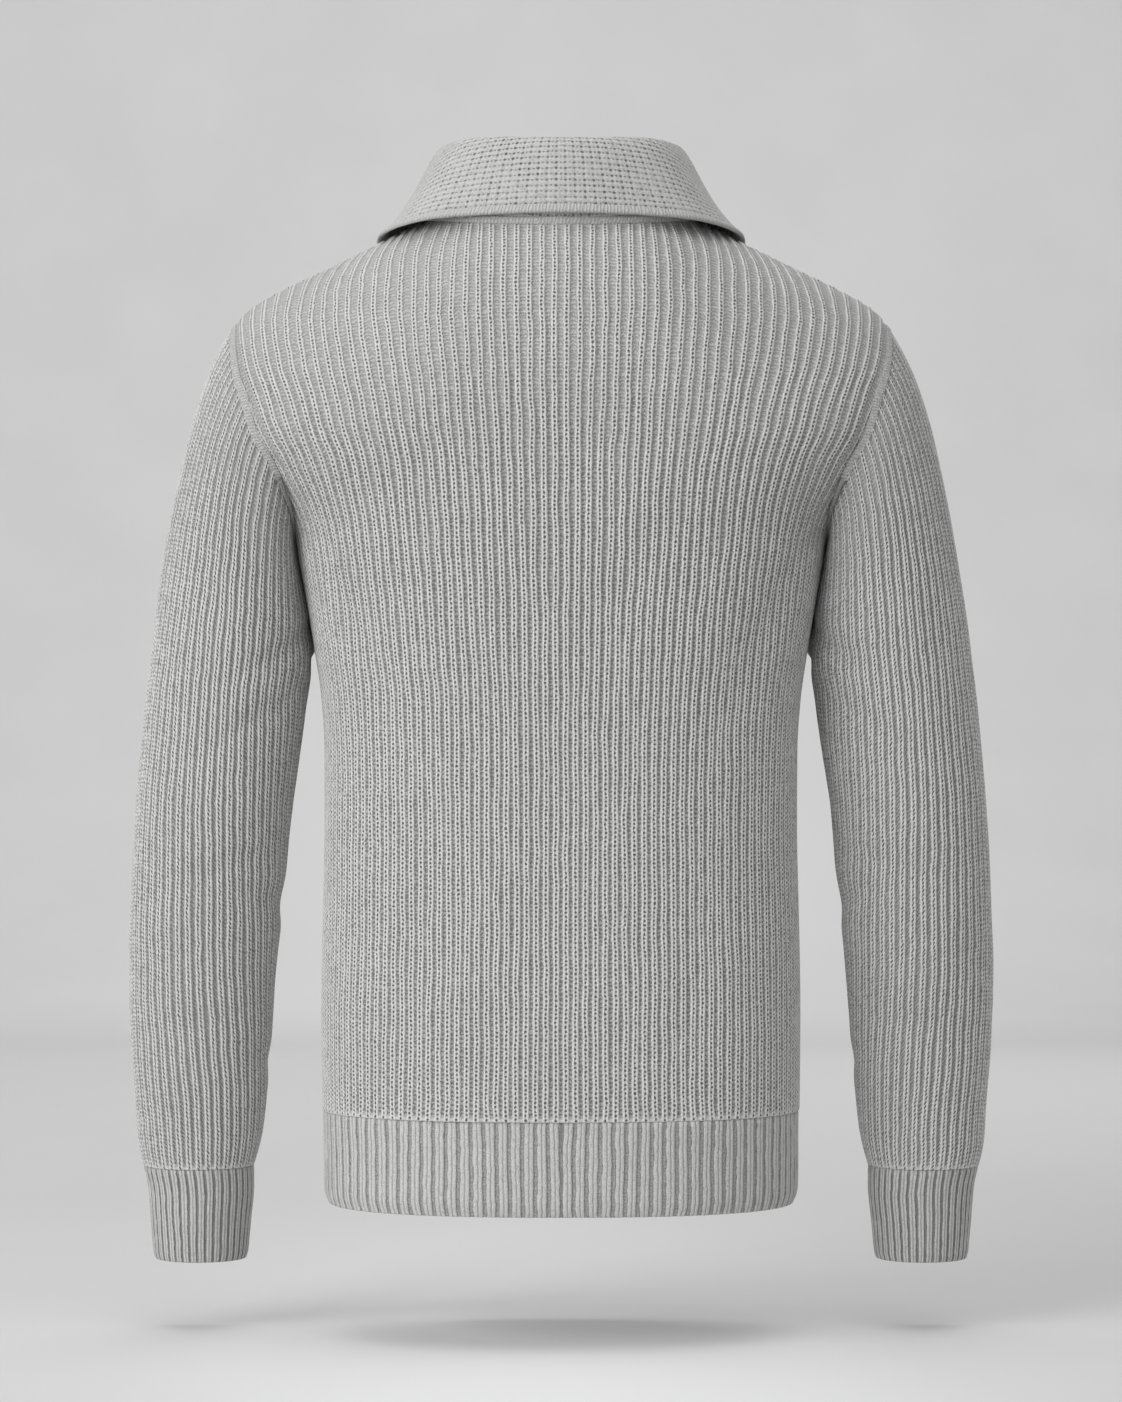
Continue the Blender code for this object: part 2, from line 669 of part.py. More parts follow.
def make_slider(material):
    surface = body_point(-1, 0.0, SLIDER_HEIGHT)[1]
    slider = box("zip_slider", (SLIDER_WIDTH, PLATE, SLIDER_LENGTH), (0, 0, 0), 0.0, material)
    slider.location = (0.0, (surface + PLATE_DEPTH) * MM, SLIDER_HEIGHT * MM)
    slider.rotation_euler = (SLIDER_LEAN, 0.0, 0.0)
    slider.parent = SWEATER
    bevel(slider, SLIDER_EDGE)
    back = box("slider_back", (SLIDER_WIDTH, PLATE, SLIDER_LENGTH), (0, PLATE_SPACING, 0), 0.0, material)
    bevel(back, SLIDER_EDGE)
    post_height = SLIDER_LENGTH / 3
    post = box("slider_post", (POST_WIDTH, PLATE_SPACING, post_height),
               (0, PLATE_SPACING / 2, SLIDER_LENGTH / 2 - post_height / 2 - POST_INSET), 0.0, material)
    rise = BRIDGE_RISE + PLATE / 2
    leg_place = BRIDGE_SPAN / 2 - BRIDGE_THICKNESS / 2
    upper = box("bridge_upper_leg", (BRIDGE_WIDTH, rise, BRIDGE_THICKNESS), (0, -rise / 2, leg_place),
                0.0, material)
    lower = box("bridge_lower_leg", (BRIDGE_WIDTH, rise, BRIDGE_THICKNESS), (0, -rise / 2, -leg_place),
                0.0, material)
    top = box("bridge_top", (BRIDGE_WIDTH, BRIDGE_THICKNESS, BRIDGE_SPAN),
              (0, -rise + BRIDGE_THICKNESS / 2, 0), 0.0, material)
    for piece in (back, post, upper, lower, top):
        join(slider, piece)
    return slider


def make_pull_tab(slider, material):
    """A flat tab whose top bar runs under the slider's bridge, with its origin on the bar's axis."""
    bar = TAB_THICKNESS
    tab = box("zip_pull_tab", (TAB_WIDTH, TAB_THICKNESS, TAB_LENGTH), (0, 0, 0), 0.0, material)
    for vertex in tab.data.vertices:
        vertex.co.z += (bar / 2 - TAB_LENGTH / 2) * MM
    window = box("tab_window", (TAB_WINDOW_WIDTH, 3 * TAB_THICKNESS, TAB_WINDOW_LENGTH),
                 (0, 0, -bar / 2 - TAB_WINDOW_LENGTH / 2), 0.0, material)
    cut = tab.modifiers.new("window", "BOOLEAN")
    cut.operation = "DIFFERENCE"
    cut.solver = "EXACT"
    cut.object = window
    window.hide_render = True
    window.display_type = "WIRE"
    PARTS.objects.unlink(window)
    HELPERS.objects.link(window)
    window.parent = tab
    out = PLATE / 2 + PIVOT_RISE
    tab.location = (0.0, slider.location.y - out * math.cos(SLIDER_LEAN) * MM,
                    slider.location.z - out * math.sin(SLIDER_LEAN) * MM)
    tab.parent = SWEATER
    return tab


def make_stops(material):
    surface, outward, _ = tape_rows()
    place = surface[0, 0] + (SEAM_GAP + STOP_SIZE[1] / 2) * outward[0, 0]
    bottom = box("zip_bottom_stop", STOP_SIZE, (0.0, place[1], place[2] + STOP_SIZE[2]), 0.0, material)
    bevel(bottom, STOP_EDGE)
    bottom.parent = SWEATER
    row = -2
    across = unit(surface[row, 0] - surface[row, 1])
    out = -outward[row, 0]
    down = np.cross(across, out)
    middle = surface[row, 0] - TOP_STOP_SIZE[0] / 2 * across + (SEAM_GAP + TOP_STOP_SIZE[1] / 2) * out
    for name, mirror in (("zip_top_stop_left", 1), ("zip_top_stop_right", -1)):
        corners = []
        for i in (-0.5, 0.5):
            for j in (-0.5, 0.5):
                for k in (-0.5, 0.5):
                    corner = (middle + i * TOP_STOP_SIZE[0] * across + j * TOP_STOP_SIZE[1] * out
                              + k * TOP_STOP_SIZE[2] * down)
                    corners.append(corner * (mirror, 1, 1))
        sides = [(0, 1, 3, 2), (4, 6, 7, 5), (0, 4, 5, 1), (2, 3, 7, 6), (0, 2, 6, 4), (1, 5, 7, 3)]
        bevel(mesh_object(name, corners, sides, material), STOP_EDGE)


def material(name, colour, roughness, metallic):
    made = bpy.data.materials.new(name)
    made.use_nodes = True
    shader = made.node_tree.nodes["Principled BSDF"]
    shader.inputs["Base Color"].default_value = colour
    shader.inputs["Roughness"].default_value = roughness
    shader.inputs["Metallic"].default_value = metallic
    return made


def clear_scene():
    for old in list(bpy.data.objects):
        bpy.data.objects.remove(old, do_unlink=True)


def collection(name):
    made = bpy.data.collections.new(name)
    bpy.context.scene.collection.children.link(made)
    return made


clear_scene()
PARTS = collection("quarter_zip_sweater")
HELPERS = collection("helpers")
SWEATER = bpy.data.objects.new("sweater", None)
PARTS.objects.link(SWEATER)
make_back(material("back_knit", WOOL_GREY, 0.9, 0.0))
make_front(material("front_knit", WOOL_GREY, 0.9, 0.0))
make_hem(material("hem_rib", RIB_GREY, 0.9, 0.0))
for suffix, mirror in (("left", False), ("right", True)):
    make_sleeve("sleeve_" + suffix, mirror, material("sleeve_knit_" + suffix, WOOL_GREY, 0.9, 0.0))
    make_cuff("cuff_" + suffix, mirror, material("cuff_rib_" + suffix, RIB_GREY, 0.9, 0.0))
    make_tape("zip_tape_" + suffix, mirror, material("tape_" + suffix, TAPE_GREY, 0.8, 0.0))
make_collar(material("collar_knit", WOOL_GREY, 0.9, 0.0))
SLIDER = make_slider(material("slider_metal", METAL_GREY, 0.35, 1.0))
make_pull_tab(SLIDER, material("tab_metal", METAL_GREY, 0.35, 1.0))
make_stops(material("stop_metal", METAL_GREY, 0.35, 1.0))
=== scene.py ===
"""Looks of a ribbed quarter-zip sweater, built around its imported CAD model.

Tables and sizes are in millimetres and the meshes in metres. The front faces -Y, the wearer's left is +X
and +Z is up. Every knitted piece is a grid whose columns follow its ribs, so ridges and furrows are real
relief, and the stitches on them are bump and colour.
"""

import math

import bmesh
import bpy
import numpy as np
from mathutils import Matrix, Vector


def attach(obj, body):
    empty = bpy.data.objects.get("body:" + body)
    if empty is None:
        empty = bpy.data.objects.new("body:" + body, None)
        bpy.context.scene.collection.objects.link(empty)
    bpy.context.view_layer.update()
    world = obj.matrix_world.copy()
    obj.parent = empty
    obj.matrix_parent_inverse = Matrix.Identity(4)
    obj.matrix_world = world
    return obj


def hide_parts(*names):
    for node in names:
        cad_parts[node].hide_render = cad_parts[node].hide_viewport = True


MM = 0.001
SAME_POINT = 2e-6
TURN = 2 * math.pi
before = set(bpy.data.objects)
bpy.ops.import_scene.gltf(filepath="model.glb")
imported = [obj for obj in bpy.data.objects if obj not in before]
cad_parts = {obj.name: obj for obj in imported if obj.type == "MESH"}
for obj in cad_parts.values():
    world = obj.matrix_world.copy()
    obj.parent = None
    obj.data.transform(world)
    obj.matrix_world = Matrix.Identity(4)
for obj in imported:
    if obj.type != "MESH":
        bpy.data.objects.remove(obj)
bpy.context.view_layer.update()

# The body's form: half width, and depth behind and before the side seams
BODY_SHAPE = 2.4
BODY = (
    # height, half width, back depth, front depth
    (-680.0, 162.0, 110.0, 104.0),
    (-617.0, 162.0, 110.0, 104.0),
    (-544.0, 162.5, 109.0, 103.0),
    (-476.0, 161.2, 108.0, 102.0),
    (-428.0, 160.5, 108.0, 102.0),
    (-374.0, 160.5, 110.0, 104.0),
    (-340.0, 162.5, 112.0, 106.0),
    (-306.0, 167.3, 114.5, 108.5),
    (-272.0, 172.7, 116.5, 110.5),
    (-245.0, 177.5, 118.0, 112.0),
    (-228.0, 180.5, 118.5, 112.5),
    (-213.5, 187.0, 119.0, 113.0),
    (-197.0, 201.0, 119.0, 113.0),
    (-183.0, 214.5, 119.0, 113.0),
    (-163.5, 234.0, 119.0, 113.0),
    (-141.0, 246.0, 118.5, 112.5),
    (-118.0, 250.7, 118.0, 112.0),
    (-85.0, 251.0, 118.0, 112.0),
)
ARMHOLE = (
    # height, distance from the centre plane
    (-228.0, 180.5),
    (-213.5, 180.6),
    (-197.0, 185.0),
    (-183.0, 190.8),
    (-163.5, 201.6),
    (-141.0, 209.0),
    (-118.0, 216.5),
    (-100.0, 219.6),
    (-85.0, 221.0),
)
SHOULDER_LINE = (
    # distance from the centre plane, height
    (0.0, 10.0),
    (50.0, 4.0),
    (92.0, -14.0),
    (125.0, -30.5),
    (160.0, -47.5),
    (190.0, -62.0),
    (213.0, -75.5),
    (221.0, -85.0),
)
PANEL_BOTTOM = -617.0
UNDERARM = -228.0
SHOULDER_TIP = -85.0
BACK_ROUNDING = 150.0
FRONT_ROUNDING = 190.0
NECK_HALF_WIDTH = 92.0
NECK_SIDE_HEIGHT = -14.0
BACK_NECK_DROP = 10.0
FRONT_NECK_DROP = 64.0
SLIT = (
    # height, half width of the gap between the cloth edges at the zip
    (-260.0, 6.9),
    (-228.0, 5.0),
    (-152.0, 5.0),
    (-138.0, 7.5),
    (-116.0, 13.5),
    (-97.0, 19.0),
    (-78.0, 24.0),
)
SLIT_TOP_HALF_WIDTH = 24.0
SLIT_BOTTOM = -222.0

# Sleeves and cuffs: the inner and outer edges seen from behind, and the depth
SLEEVE = (
    # height, inner edge, outer edge, middle of the depth, half depth
    (-658.5, 210.4, 286.2, -24.4, 36.8),
    (-648.0, 207.6, 288.4, -23.8, 38.2),
    (-636.0, 205.0, 289.8, -23.0, 39.3),
    (-618.0, 202.5, 291.0, -21.6, 40.6),
    (-578.0, 198.6, 293.8, -18.6, 43.0),
    (-524.0, 194.5, 295.0, -14.6, 46.4),
    (-469.0, 188.4, 293.0, -11.4, 50.2),
    (-415.0, 183.6, 289.7, -8.4, 53.6),
    (-374.0, 177.8, 286.0, -6.4, 55.4),
    (-333.0, 172.0, 281.5, -4.0, 57.0),
)
SLEEVE_TOP = -333.0
UNDERARM_GAP = 0.5  # between the sleeve and the body's side, down to the sleeve's free part
UNDERARM_TURN = 0.6
SLEEVE_BOTTOM = -658.5
SLEEVE_END = (3.6, 2.4, 1.2, 0.5, 0.0)
HEAD_ROWS = 60
SLEEVE_ROWS = 82
ROUND_SAMPLES = 480  # places round a sleeve's form
SLEEVE_HEAD = (
    # share of the way from shoulder tip to underarm, direction the cloth leaves the seam in (out, back,
    # down), length of its first run, length of its last run
    (0.0, 0.60, 0.00, 0.80, 180.0, 260.0),
    (0.25, 0.55, 0.20, 0.81, 150.0, 215.0),
    (0.5, 0.42, 0.12, 0.90, 130.0, 170.0),
    (0.75, 0.22, 0.10, 0.96, 105.0, 140.0),
    (1.0, 0.00, 0.00, 1.00, 95.0, 105.0),
)
CUFF = (
    # height, inner edge, outer edge, middle of the depth, half depth
    (-722.6, 215.0, 279.0, -27.0, 31.6),
    (-697.0, 212.8, 281.2, -26.0, 33.4),
    (-672.0, 210.4, 283.2, -25.0, 35.4),
    (-658.8, 210.4, 286.0, -24.4, 36.7),
)
HEM = (
    # height, half width, back depth, front depth
    (-680.0, 160.2, 108.6, 102.6),
    (-665.0, 160.6, 109.0, 103.0),
    (-640.0, 160.9, 109.2, 103.2),
    (-617.3, 161.4, 109.6, 103.6),
)

CUFF_TOP = -658.8
CUFF_BOTTOM = -722.6
CUFF_CURL = 1.4
HEM_TOP = -617.3
HEM_BOTTOM = -680.0
HEM_CURL = 3.0
TUCK = 3.0  # height of a band's top that is hidden in the wall above it
TUCK_DEPTH = 2.1
BAND_ROWS = 22
ROLL_ROWS = 8

# Collar, from the centre back (0) to the front edge (1): its fold line and its turned-down edge
COLLAR = (
    # share round, fold (across, back, up), edge (across, back, up), roundness of the leaf
    (0.0, 0.0, 62.0, 35.0, 0.0, 80.0, -16.9, 2.0),
    (0.25, 56.0, 46.0, 36.5, 85.0, 61.5, -18.6, -2.0),
    (0.5, 77.5, 4.0, 37.0, 125.0, 4.0, -25.3, -11.5),
    (0.57, 81.0, -13.0, 30.0, 126.5, -20.0, -28.0, -11.0),
    (0.65, 79.0, -34.0, 17.0, 124.0, -48.0, -41.0, -7.0),
    (0.8, 65.0, -66.0, -13.0, 108.0, -84.0, -73.0, -1.0),
    (1.0, 34.0, -90.0, -42.0, 76.0, -104.0, -105.0, 2.0),
)
COLLAR_LIFT = 0.6
STAND_RISE = 0.5
FOLD_REACH = 10.0
LEAF_REACH = 11.0
LEAF_HANG = 0.35

# The knit
WALL = 3.0
INNER_DEPTH = WALL + 0.4  # from the outer form to the inside of a panel or a sleeve
COURSE = 2.9
RIB_PITCH = (
    # height, width of a rib above the underarm
    (-228.0, 7.21),
    (-204.0, 7.30),
    (-170.0, 7.55),
    (-136.0, 7.85),
    (-100.0, 8.15),
    (-85.0, 8.30),
)
SIDE_RIBS = 34
SLIT_RIBS = 1.0
SLEEVE_RIBS = 51
HEM_RIBS = 104
CUFF_RIBS = 38
RIB_SAMPLES = (0.0, 0.14, 0.25, 0.37, 0.5, 0.63, 0.75, 0.86)  # places across one rib, from its furrow
RIDGE_HALF_WIDTH = 2.0
BAND_RIDGE = 0.34  # half a band ridge's width as a share of its rib
FURROW_DEPTH = 1.3
STRAND_GROOVE = 0.3
RIBS_CUT_OFF = 1.2  # ribs that end on the armhole above the underarm
ROW_CHANGE = -240.0  # height up to which a panel's rows are level
LEAN = 1.35  # ribs by which the ribs lean to the neck as they pass over the shoulder
LEAN_HEIGHT = 34.0
LOWER_ROWS = 80
PANEL_END = (0.0, 0.5, 1.3, 2.5, 3.7)
UPPER_ROWS = 62
WALE = 6.2  # width of the collar's stitches
WALE_SAMPLES = 5
STAND_ROWS = 36
LEAF_ROWS = 76
COLLAR_COURSE = 4.0
WELT = 6.2


def smooth(table, column, at):
    """A column of a table at any value of its first column, as a curve that doesn't overshoot its rows."""
    rows = np.array(table, float)
    x = rows[:, 0]
    y = rows[:, column]
    at = np.clip(np.asarray(at, float), x[0], x[-1])
    width = np.diff(x)
    slope = np.diff(y) / width
    tangent = np.concatenate([[slope[0]], np.zeros(len(x) - 2), [slope[-1]]])
    same_way = slope[:-1] * slope[1:] > 0
    both = slope[:-1] + slope[1:]
    tangent[1:-1][same_way] = (2 * slope[:-1] * slope[1:] / np.where(both == 0, 1, both))[same_way]
    span = np.clip(np.searchsorted(x, at) - 1, 0, len(x) - 2)
    part = (at - x[span]) / width[span]
    start = (1 + 2 * part) * (1 - part) ** 2 * y[span] + part**2 * (3 - 2 * part) * y[span + 1]
    bend = part * (1 - part) ** 2 * tangent[span] - part**2 * (1 - part) * tangent[span + 1]
    return start + bend * width[span]


def unit(vectors):
    return vectors / np.maximum(np.linalg.norm(vectors, axis=-1, keepdims=True), 1e-12)


def step(value):
    part = np.clip(value, 0.0, 1.0)
    return part * part * (3 - 2 * part)


def lattice(i, j, seed):
    """A fixed pseudo-random number from -1 to 1 for each whole place (i, j)."""
    value = np.sin(i * 127.1 + j * 311.7 + seed * 74.7) * 43758.5453
    return 2 * (value - np.floor(value)) - 1


def noise(x, y, seed):
    """Smooth uneven values from -1 to 1 that change over a distance of about 1."""
    i, j = np.floor(x), np.floor(y)
    a, b = step(x - i), step(y - j)
    low = lattice(i, j, seed) * (1 - a) + lattice(i + 1, j, seed) * a
    high = lattice(i, j + 1, seed) * (1 - a) + lattice(i + 1, j + 1, seed) * a
    return low * (1 - b) + high * b


def line_run(points):
    """Distance along a line of points from its first one."""
    return np.concatenate([[0], np.cumsum(np.linalg.norm(np.diff(points, axis=0), axis=1))])


def quarter(half_width, depth, angle):
    """A quarter of a level section of the body, from its centre to its side, and the distance along it."""
    across = half_width * np.sin(angle) ** (2 / BODY_SHAPE)
    out = depth * np.cos(angle) ** (2 / BODY_SHAPE)
    across[0] = out[-1] = 0.0
    return across, out, np.concatenate([[0], np.cumsum(np.hypot(np.diff(across), np.diff(out)))])


class Section:
    """The body's level sections on one side, as places at a distance along them from the centre."""

    heights = np.linspace(-680.0, SHOULDER_TIP, 1191)
    parts = np.linspace(0, 1, 500)

    def __init__(self, side):
        self.side = side
        self.rounding = BACK_ROUNDING if side > 0 else FRONT_ROUNDING
        half_widths, depths = (smooth(BODY, column, self.heights) for column in (1, 2 if side > 0 else 3))
        edges = np.where(self.heights <= UNDERARM, half_widths, smooth(ARMHOLE, 1, self.heights))
        angle = np.linspace(0, math.pi / 2, 3000)
        rows = []
        for half_width, depth, edge in zip(half_widths, depths, edges):
            across, out, run = quarter(half_width, depth, angle)
            at = self.parts * run[-1]
            rows.append((np.interp(at, run, across), np.interp(at, run, out), run[-1],
                         np.interp(edge, across, run)))
        self.across, self.out, self.total, self.edge = map(np.array, zip(*rows))
        above = np.clip((self.heights - UNDERARM) / (SHOULDER_TIP - UNDERARM), 0, 1)
        spare = np.interp(UNDERARM, self.heights, self.edge) / SIDE_RIBS - RIB_PITCH[0][1]
        upper = smooth(RIB_PITCH, 1, self.heights) + spare * (1 - above)
        self.width = np.where(self.heights <= UNDERARM, self.edge / SIDE_RIBS, upper)
        self.edge_ribs = np.minimum.accumulate(self.edge / self.width) - RIBS_CUT_OFF * above

    def edge_run(self, height):
        return np.interp(height, self.heights, self.edge)

    def rib_run(self, place, height):
        """Distance from the centre of a place counted in ribs. The zip's slit takes up the first rib."""
        first = 0.0 if self.side > 0 else SLIT_RIBS
        start = 0.0 if self.side > 0 else smooth(SLIT, 1, height)
        width = np.interp(height, self.heights, self.width)
        reach = np.interp(height, self.heights, self.edge_ribs) - first
        count = np.clip(place - first, 0, reach)
        spare = self.edge_run(height) - start - width * reach
        run = start + width * count + spare * (count / reach) ** 2
        return run if self.side > 0 else np.where(place < first, place * start / first, run)

    def place(self, run, height):
        """Across and out of the place at this distance along the section."""
        level = np.clip(height, self.heights[0], self.heights[-1])
        row = (level - self.heights[0]) / (self.heights[1] - self.heights[0])
        low = np.clip(np.floor(row).astype(int), 0, len(self.heights) - 2)
        rise = row - low
        column = np.clip(run / np.interp(level, self.heights, self.total), 0, 1) * (len(self.parts) - 1)
        left = np.clip(np.floor(column).astype(int), 0, len(self.parts) - 2)
        over = column - left

        def between(grid):
            lower, upper = (grid[r, left] * (1 - over) + grid[r, left + 1] * over for r in (low, low + 1))
            return lower * (1 - rise) + upper * rise

        return between(self.across), between(self.out)

    def point(self, run, height):
        """Points of the body's outer surface, which curves in to the shoulder line at the top."""
        across, out = self.place(run, height)
        below = np.clip((smooth(SHOULDER_LINE, 1, across) - height) / self.rounding, 0, 1)
        depth = self.side * out * np.sqrt(1 - (1 - below) ** 2)
        return np.stack([across, depth, height + 0 * across], axis=-1)

    def top(self, across):
        """Height of the panel's top edge: the neckline, then the shoulder line."""
        inner, drop = (0.0, BACK_NECK_DROP) if self.side > 0 else (SLIT_TOP_HALF_WIDTH, FRONT_NECK_DROP)
        part = np.clip((across - inner) / (NECK_HALF_WIDTH - inner), 0, 1)
        neck = NECK_SIDE_HEIGHT - drop * np.sqrt(1 - part**2)
        return np.where(across >= NECK_HALF_WIDTH, smooth(SHOULDER_LINE, 1, across), neck)


BACK = Section(1)
FRONT = Section(-1)


def rib_columns(count):
    """Places across a number of ribs, counted in ribs. Furrows are at whole numbers."""
    return np.array([rib + part for rib in range(count) for part in RIB_SAMPLES])


def rib_depth(ribs, pitch, ridge=RIDGE_HALF_WIDTH):
    """How far the cloth lies behind its ridges, in mm. Each ridge is two strands with a groove between."""
    from_ridge = np.abs(ribs - np.floor(ribs) - 0.5) * pitch
    half_furrow = np.maximum(pitch / 2 - ridge, 0.4)
    fall = step((from_ridge - ridge + 0.35) / 1.15)
    depth = FURROW_DEPTH * np.clip(half_furrow / 1.3, 0.55, 1.15)
    return depth * fall + STRAND_GROOVE * np.exp(-((from_ridge / 0.45) ** 2))


def grid_normals(grid, wrap):
    """Normals of a grid of points, from its rows and columns."""
    if wrap:
        padded = np.concatenate([grid[:, -2:], grid, grid[:, :2]], axis=1)
        across = np.gradient(padded, axis=1)[:, 2:-2]
    else:
        across = np.gradient(grid, axis=1)
    return unit(np.cross(across, np.gradient(grid, axis=0)))


def run_lengths(grid):
    """Distance along each column of a grid from its first row."""
    steps = np.linalg.norm(np.diff(grid, axis=0), axis=2)
    return np.concatenate([np.zeros((1, grid.shape[1])), np.cumsum(steps, axis=0)])


def pitches(grid, ribs, wrap):
    """Width of a rib at each point of a grid, in mm."""
    if wrap:
        padded = np.concatenate([grid[:, -8:], grid, grid[:, :8]], axis=1)
        places = np.concatenate([ribs[-8:] - wrap, ribs, ribs[:8] + wrap])
        width = np.linalg.norm(padded[:, 16:] - padded[:, :-16], axis=2) / (places[16:] - places[:-16])
        return np.clip(width, 4.0, 10.5)
    width = np.linalg.norm(grid[:, 8:] - grid[:, :-8], axis=2) / (ribs[8:] - ribs[:-8])
    return np.clip(np.pad(width, ((0, 0), (4, 4)), mode="edge"), 4.0, 10.5)


def outward_normals(grid):
    """Normals of the rings of a tube, away from its middle."""
    normals = grid_normals(grid, True)
    return normals * np.sign((normals[-1] * (grid[-1] - grid[-1].mean(axis=0))).sum())


def add_object(name, data):
    made = bpy.data.objects.new(name, data)
    bpy.context.scene.collection.objects.link(made)
    return made


def build(name, vertices, faces, ribs, courses, pitch, edge):
    """A mesh object with its knit's coordinates as a UV map and as values at its points."""
    mesh = bpy.data.meshes.new(name)
    mesh.from_pydata((vertices * MM).tolist(), [], faces)
    corners = np.zeros(len(mesh.loops), int)
    mesh.loops.foreach_get("vertex_index", corners)
    layer = mesh.uv_layers.new(name="knit")
    layer.data.foreach_set("uv", np.stack([ribs, courses], axis=1)[corners].ravel().astype(np.float32))
    for label, values in (("pitch", pitch), ("edge", edge)):
        mesh.attributes.new(label, "FLOAT", "POINT").data.foreach_set("value", values.astype(np.float32))
    joined = bmesh.new()
    joined.from_mesh(mesh)
    bmesh.ops.remove_doubles(joined, verts=joined.verts, dist=SAME_POINT)
    joined.to_mesh(mesh)
    joined.free()
    mesh.shade_smooth()
    return add_object(name, mesh)


def shell(name, outer, inner, kept_rows, ribs, courses, pitch, edge, wrap=False, slit=None):
    """A closed cloth wall: a fine outer grid, an inner grid of some of its rows, and rims between them.

    ribs is one value for each column; courses, pitch and edge are grids. slit is (row, first column,
    last column) of an opening that runs from that row to the top.
    """
    rows, columns = outer.shape[:2]
    base = rows * columns
    column = np.arange(columns if wrap else columns - 1)
    beside = (column + 1) % columns
    inner_slit = None if slit is None else kept_rows.index(slit[0])
    faces = []

    def strip(a, b, flip, at_slit):
        corners = np.stack([a + column, a + beside, b + beside, b + column], axis=1)
        if at_slit:
            corners = corners[(column < slit[1]) | (column >= slit[2])]
        faces.extend((corners[:, ::-1] if flip else corners).tolist())

    for r in range(rows - 1):
        strip(r * columns, (r + 1) * columns, False, slit and r >= slit[0])
    for r in range(len(kept_rows) - 1):
        strip(base + r * columns, base + (r + 1) * columns, True, slit and r >= inner_slit)
    strip(0, base, True, None)
    strip((rows - 1) * columns, base + (len(kept_rows) - 1) * columns, False, slit)
    ends = [] if wrap else [(0, 0, True), (columns - 1, 0, False)]
    if slit:
        ends += [(slit[1], inner_slit, False), (slit[2], inner_slit, True)]
        a, b = slit[0] * columns, base + inner_slit * columns
        faces += [[a + c, a + c + 1, b + c + 1, b + c] for c in range(slit[1], slit[2])]
    for at, start, flip in ends:
        for i in range(start, len(kept_rows) - 1):
            loop = [r * columns + at for r in range(kept_rows[i], kept_rows[i + 1] + 1)]
            loop += [base + (i + 1) * columns + at, base + i * columns + at]
            faces.append(loop if flip else loop[::-1])
    vertices = np.concatenate([outer.reshape(-1, 3), inner.reshape(-1, 3)])
    grids = [np.broadcast_to(values, (rows, columns)) for values in (ribs, courses, pitch, edge)]
    values = [np.concatenate([grid.ravel(), grid[kept_rows].ravel()]) for grid in grids]
    if slit:  # leaves out the points inside the opening
        used = np.unique(np.concatenate(faces))
        place = np.zeros(len(vertices), int)
        place[used] = np.arange(len(used))
        faces = [place[face].tolist() for face in faces]
        vertices, values = vertices[used], [each[used] for each in values]
    return build(name, vertices, faces, *values)


def ring_faces(rows, columns, column, flip=False):
    """Faces of a grid whose last row joins its first."""
    beside = (column + 1) % columns
    faces = []
    for r in range(rows):
        a, b = r * columns, (r + 1) % rows * columns
        corners = np.stack([a + column, b + column, b + beside, a + beside], axis=1)
        faces.extend((corners[:, ::-1] if flip else corners).tolist())
    return faces


def spread(count, dense_end):
    """Shares from 0 to 1 whose steps get shorter towards the end."""
    part = np.linspace(0, 1, count)
    return (1 - dense_end) * part + dense_end * (1 - (1 - part) ** 2)


# Soft creases: troughs are positive, rounded ridges negative
BODY_CREASES = (
    # side (1 back, -1 front), across, height, tilt in degrees, half length, half width, depth
    (1, 150.0, -262.0, 24.0, 62.0, 9.0, 2.2),
    (1, -152.0, -258.0, -22.0, 58.0, 9.0, 2.0),
    (1, 128.0, -300.0, 14.0, 74.0, 12.0, 1.3),
    (1, -126.0, -310.0, -16.0, 80.0, 13.0, 1.4),
    (1, 62.0, -128.0, 6.0, 70.0, 22.0, -0.9),
    (1, -70.0, -150.0, -8.0, 84.0, 24.0, -1.0),
    (1, 0.0, -96.0, 88.0, 92.0, 18.0, 0.9),
    (1, 96.0, -560.0, 4.0, 66.0, 14.0, 1.0),
    (1, -84.0, -548.0, -6.0, 72.0, 15.0, 1.1),
    (1, -18.0, -470.0, 3.0, 110.0, 26.0, -0.8),
    (-1, 150.0, -264.0, 24.0, 60.0, 9.0, 2.1),
    (-1, -150.0, -260.0, -24.0, 60.0, 9.0, 2.1),
    (-1, 118.0, -320.0, 12.0, 78.0, 13.0, 1.4),
    (-1, -122.0, -312.0, -14.0, 76.0, 12.0, 1.3),
    (-1, 70.0, -190.0, -10.0, 80.0, 20.0, 1.0),
    (-1, -74.0, -184.0, 12.0, 78.0, 20.0, 1.0),
    (-1, 88.0, -556.0, 4.0, 64.0, 14.0, 1.1),
    (-1, -92.0, -564.0, -5.0, 66.0, 14.0, 1.0),
)


def body_fold(side, points):
    """How far soft creases and the knit's slackness push the body's surface in, in mm."""
    x, z = points[..., 0], points[..., 2]
    depth = 0.55 * noise(x / 46, z / 70, 3 + side) + 0.3 * noise(x / 21, z / 33, 7 + side)
    for on, across, height, tilt, half_length, half_width, amount in BODY_CREASES:
        if on != side:
            continue
        turn = math.radians(tilt)
        along = (x - across) * math.sin(turn) + (z - height) * math.cos(turn)
        over = (x - across) * math.cos(turn) - (z - height) * math.sin(turn)
        over = over + 3.0 * noise(along / 37, 0 * along, 11)
        depth = depth + amount * np.exp(-((along / half_length) ** 2) * 1.4 - (over / half_width) ** 2)
    return depth


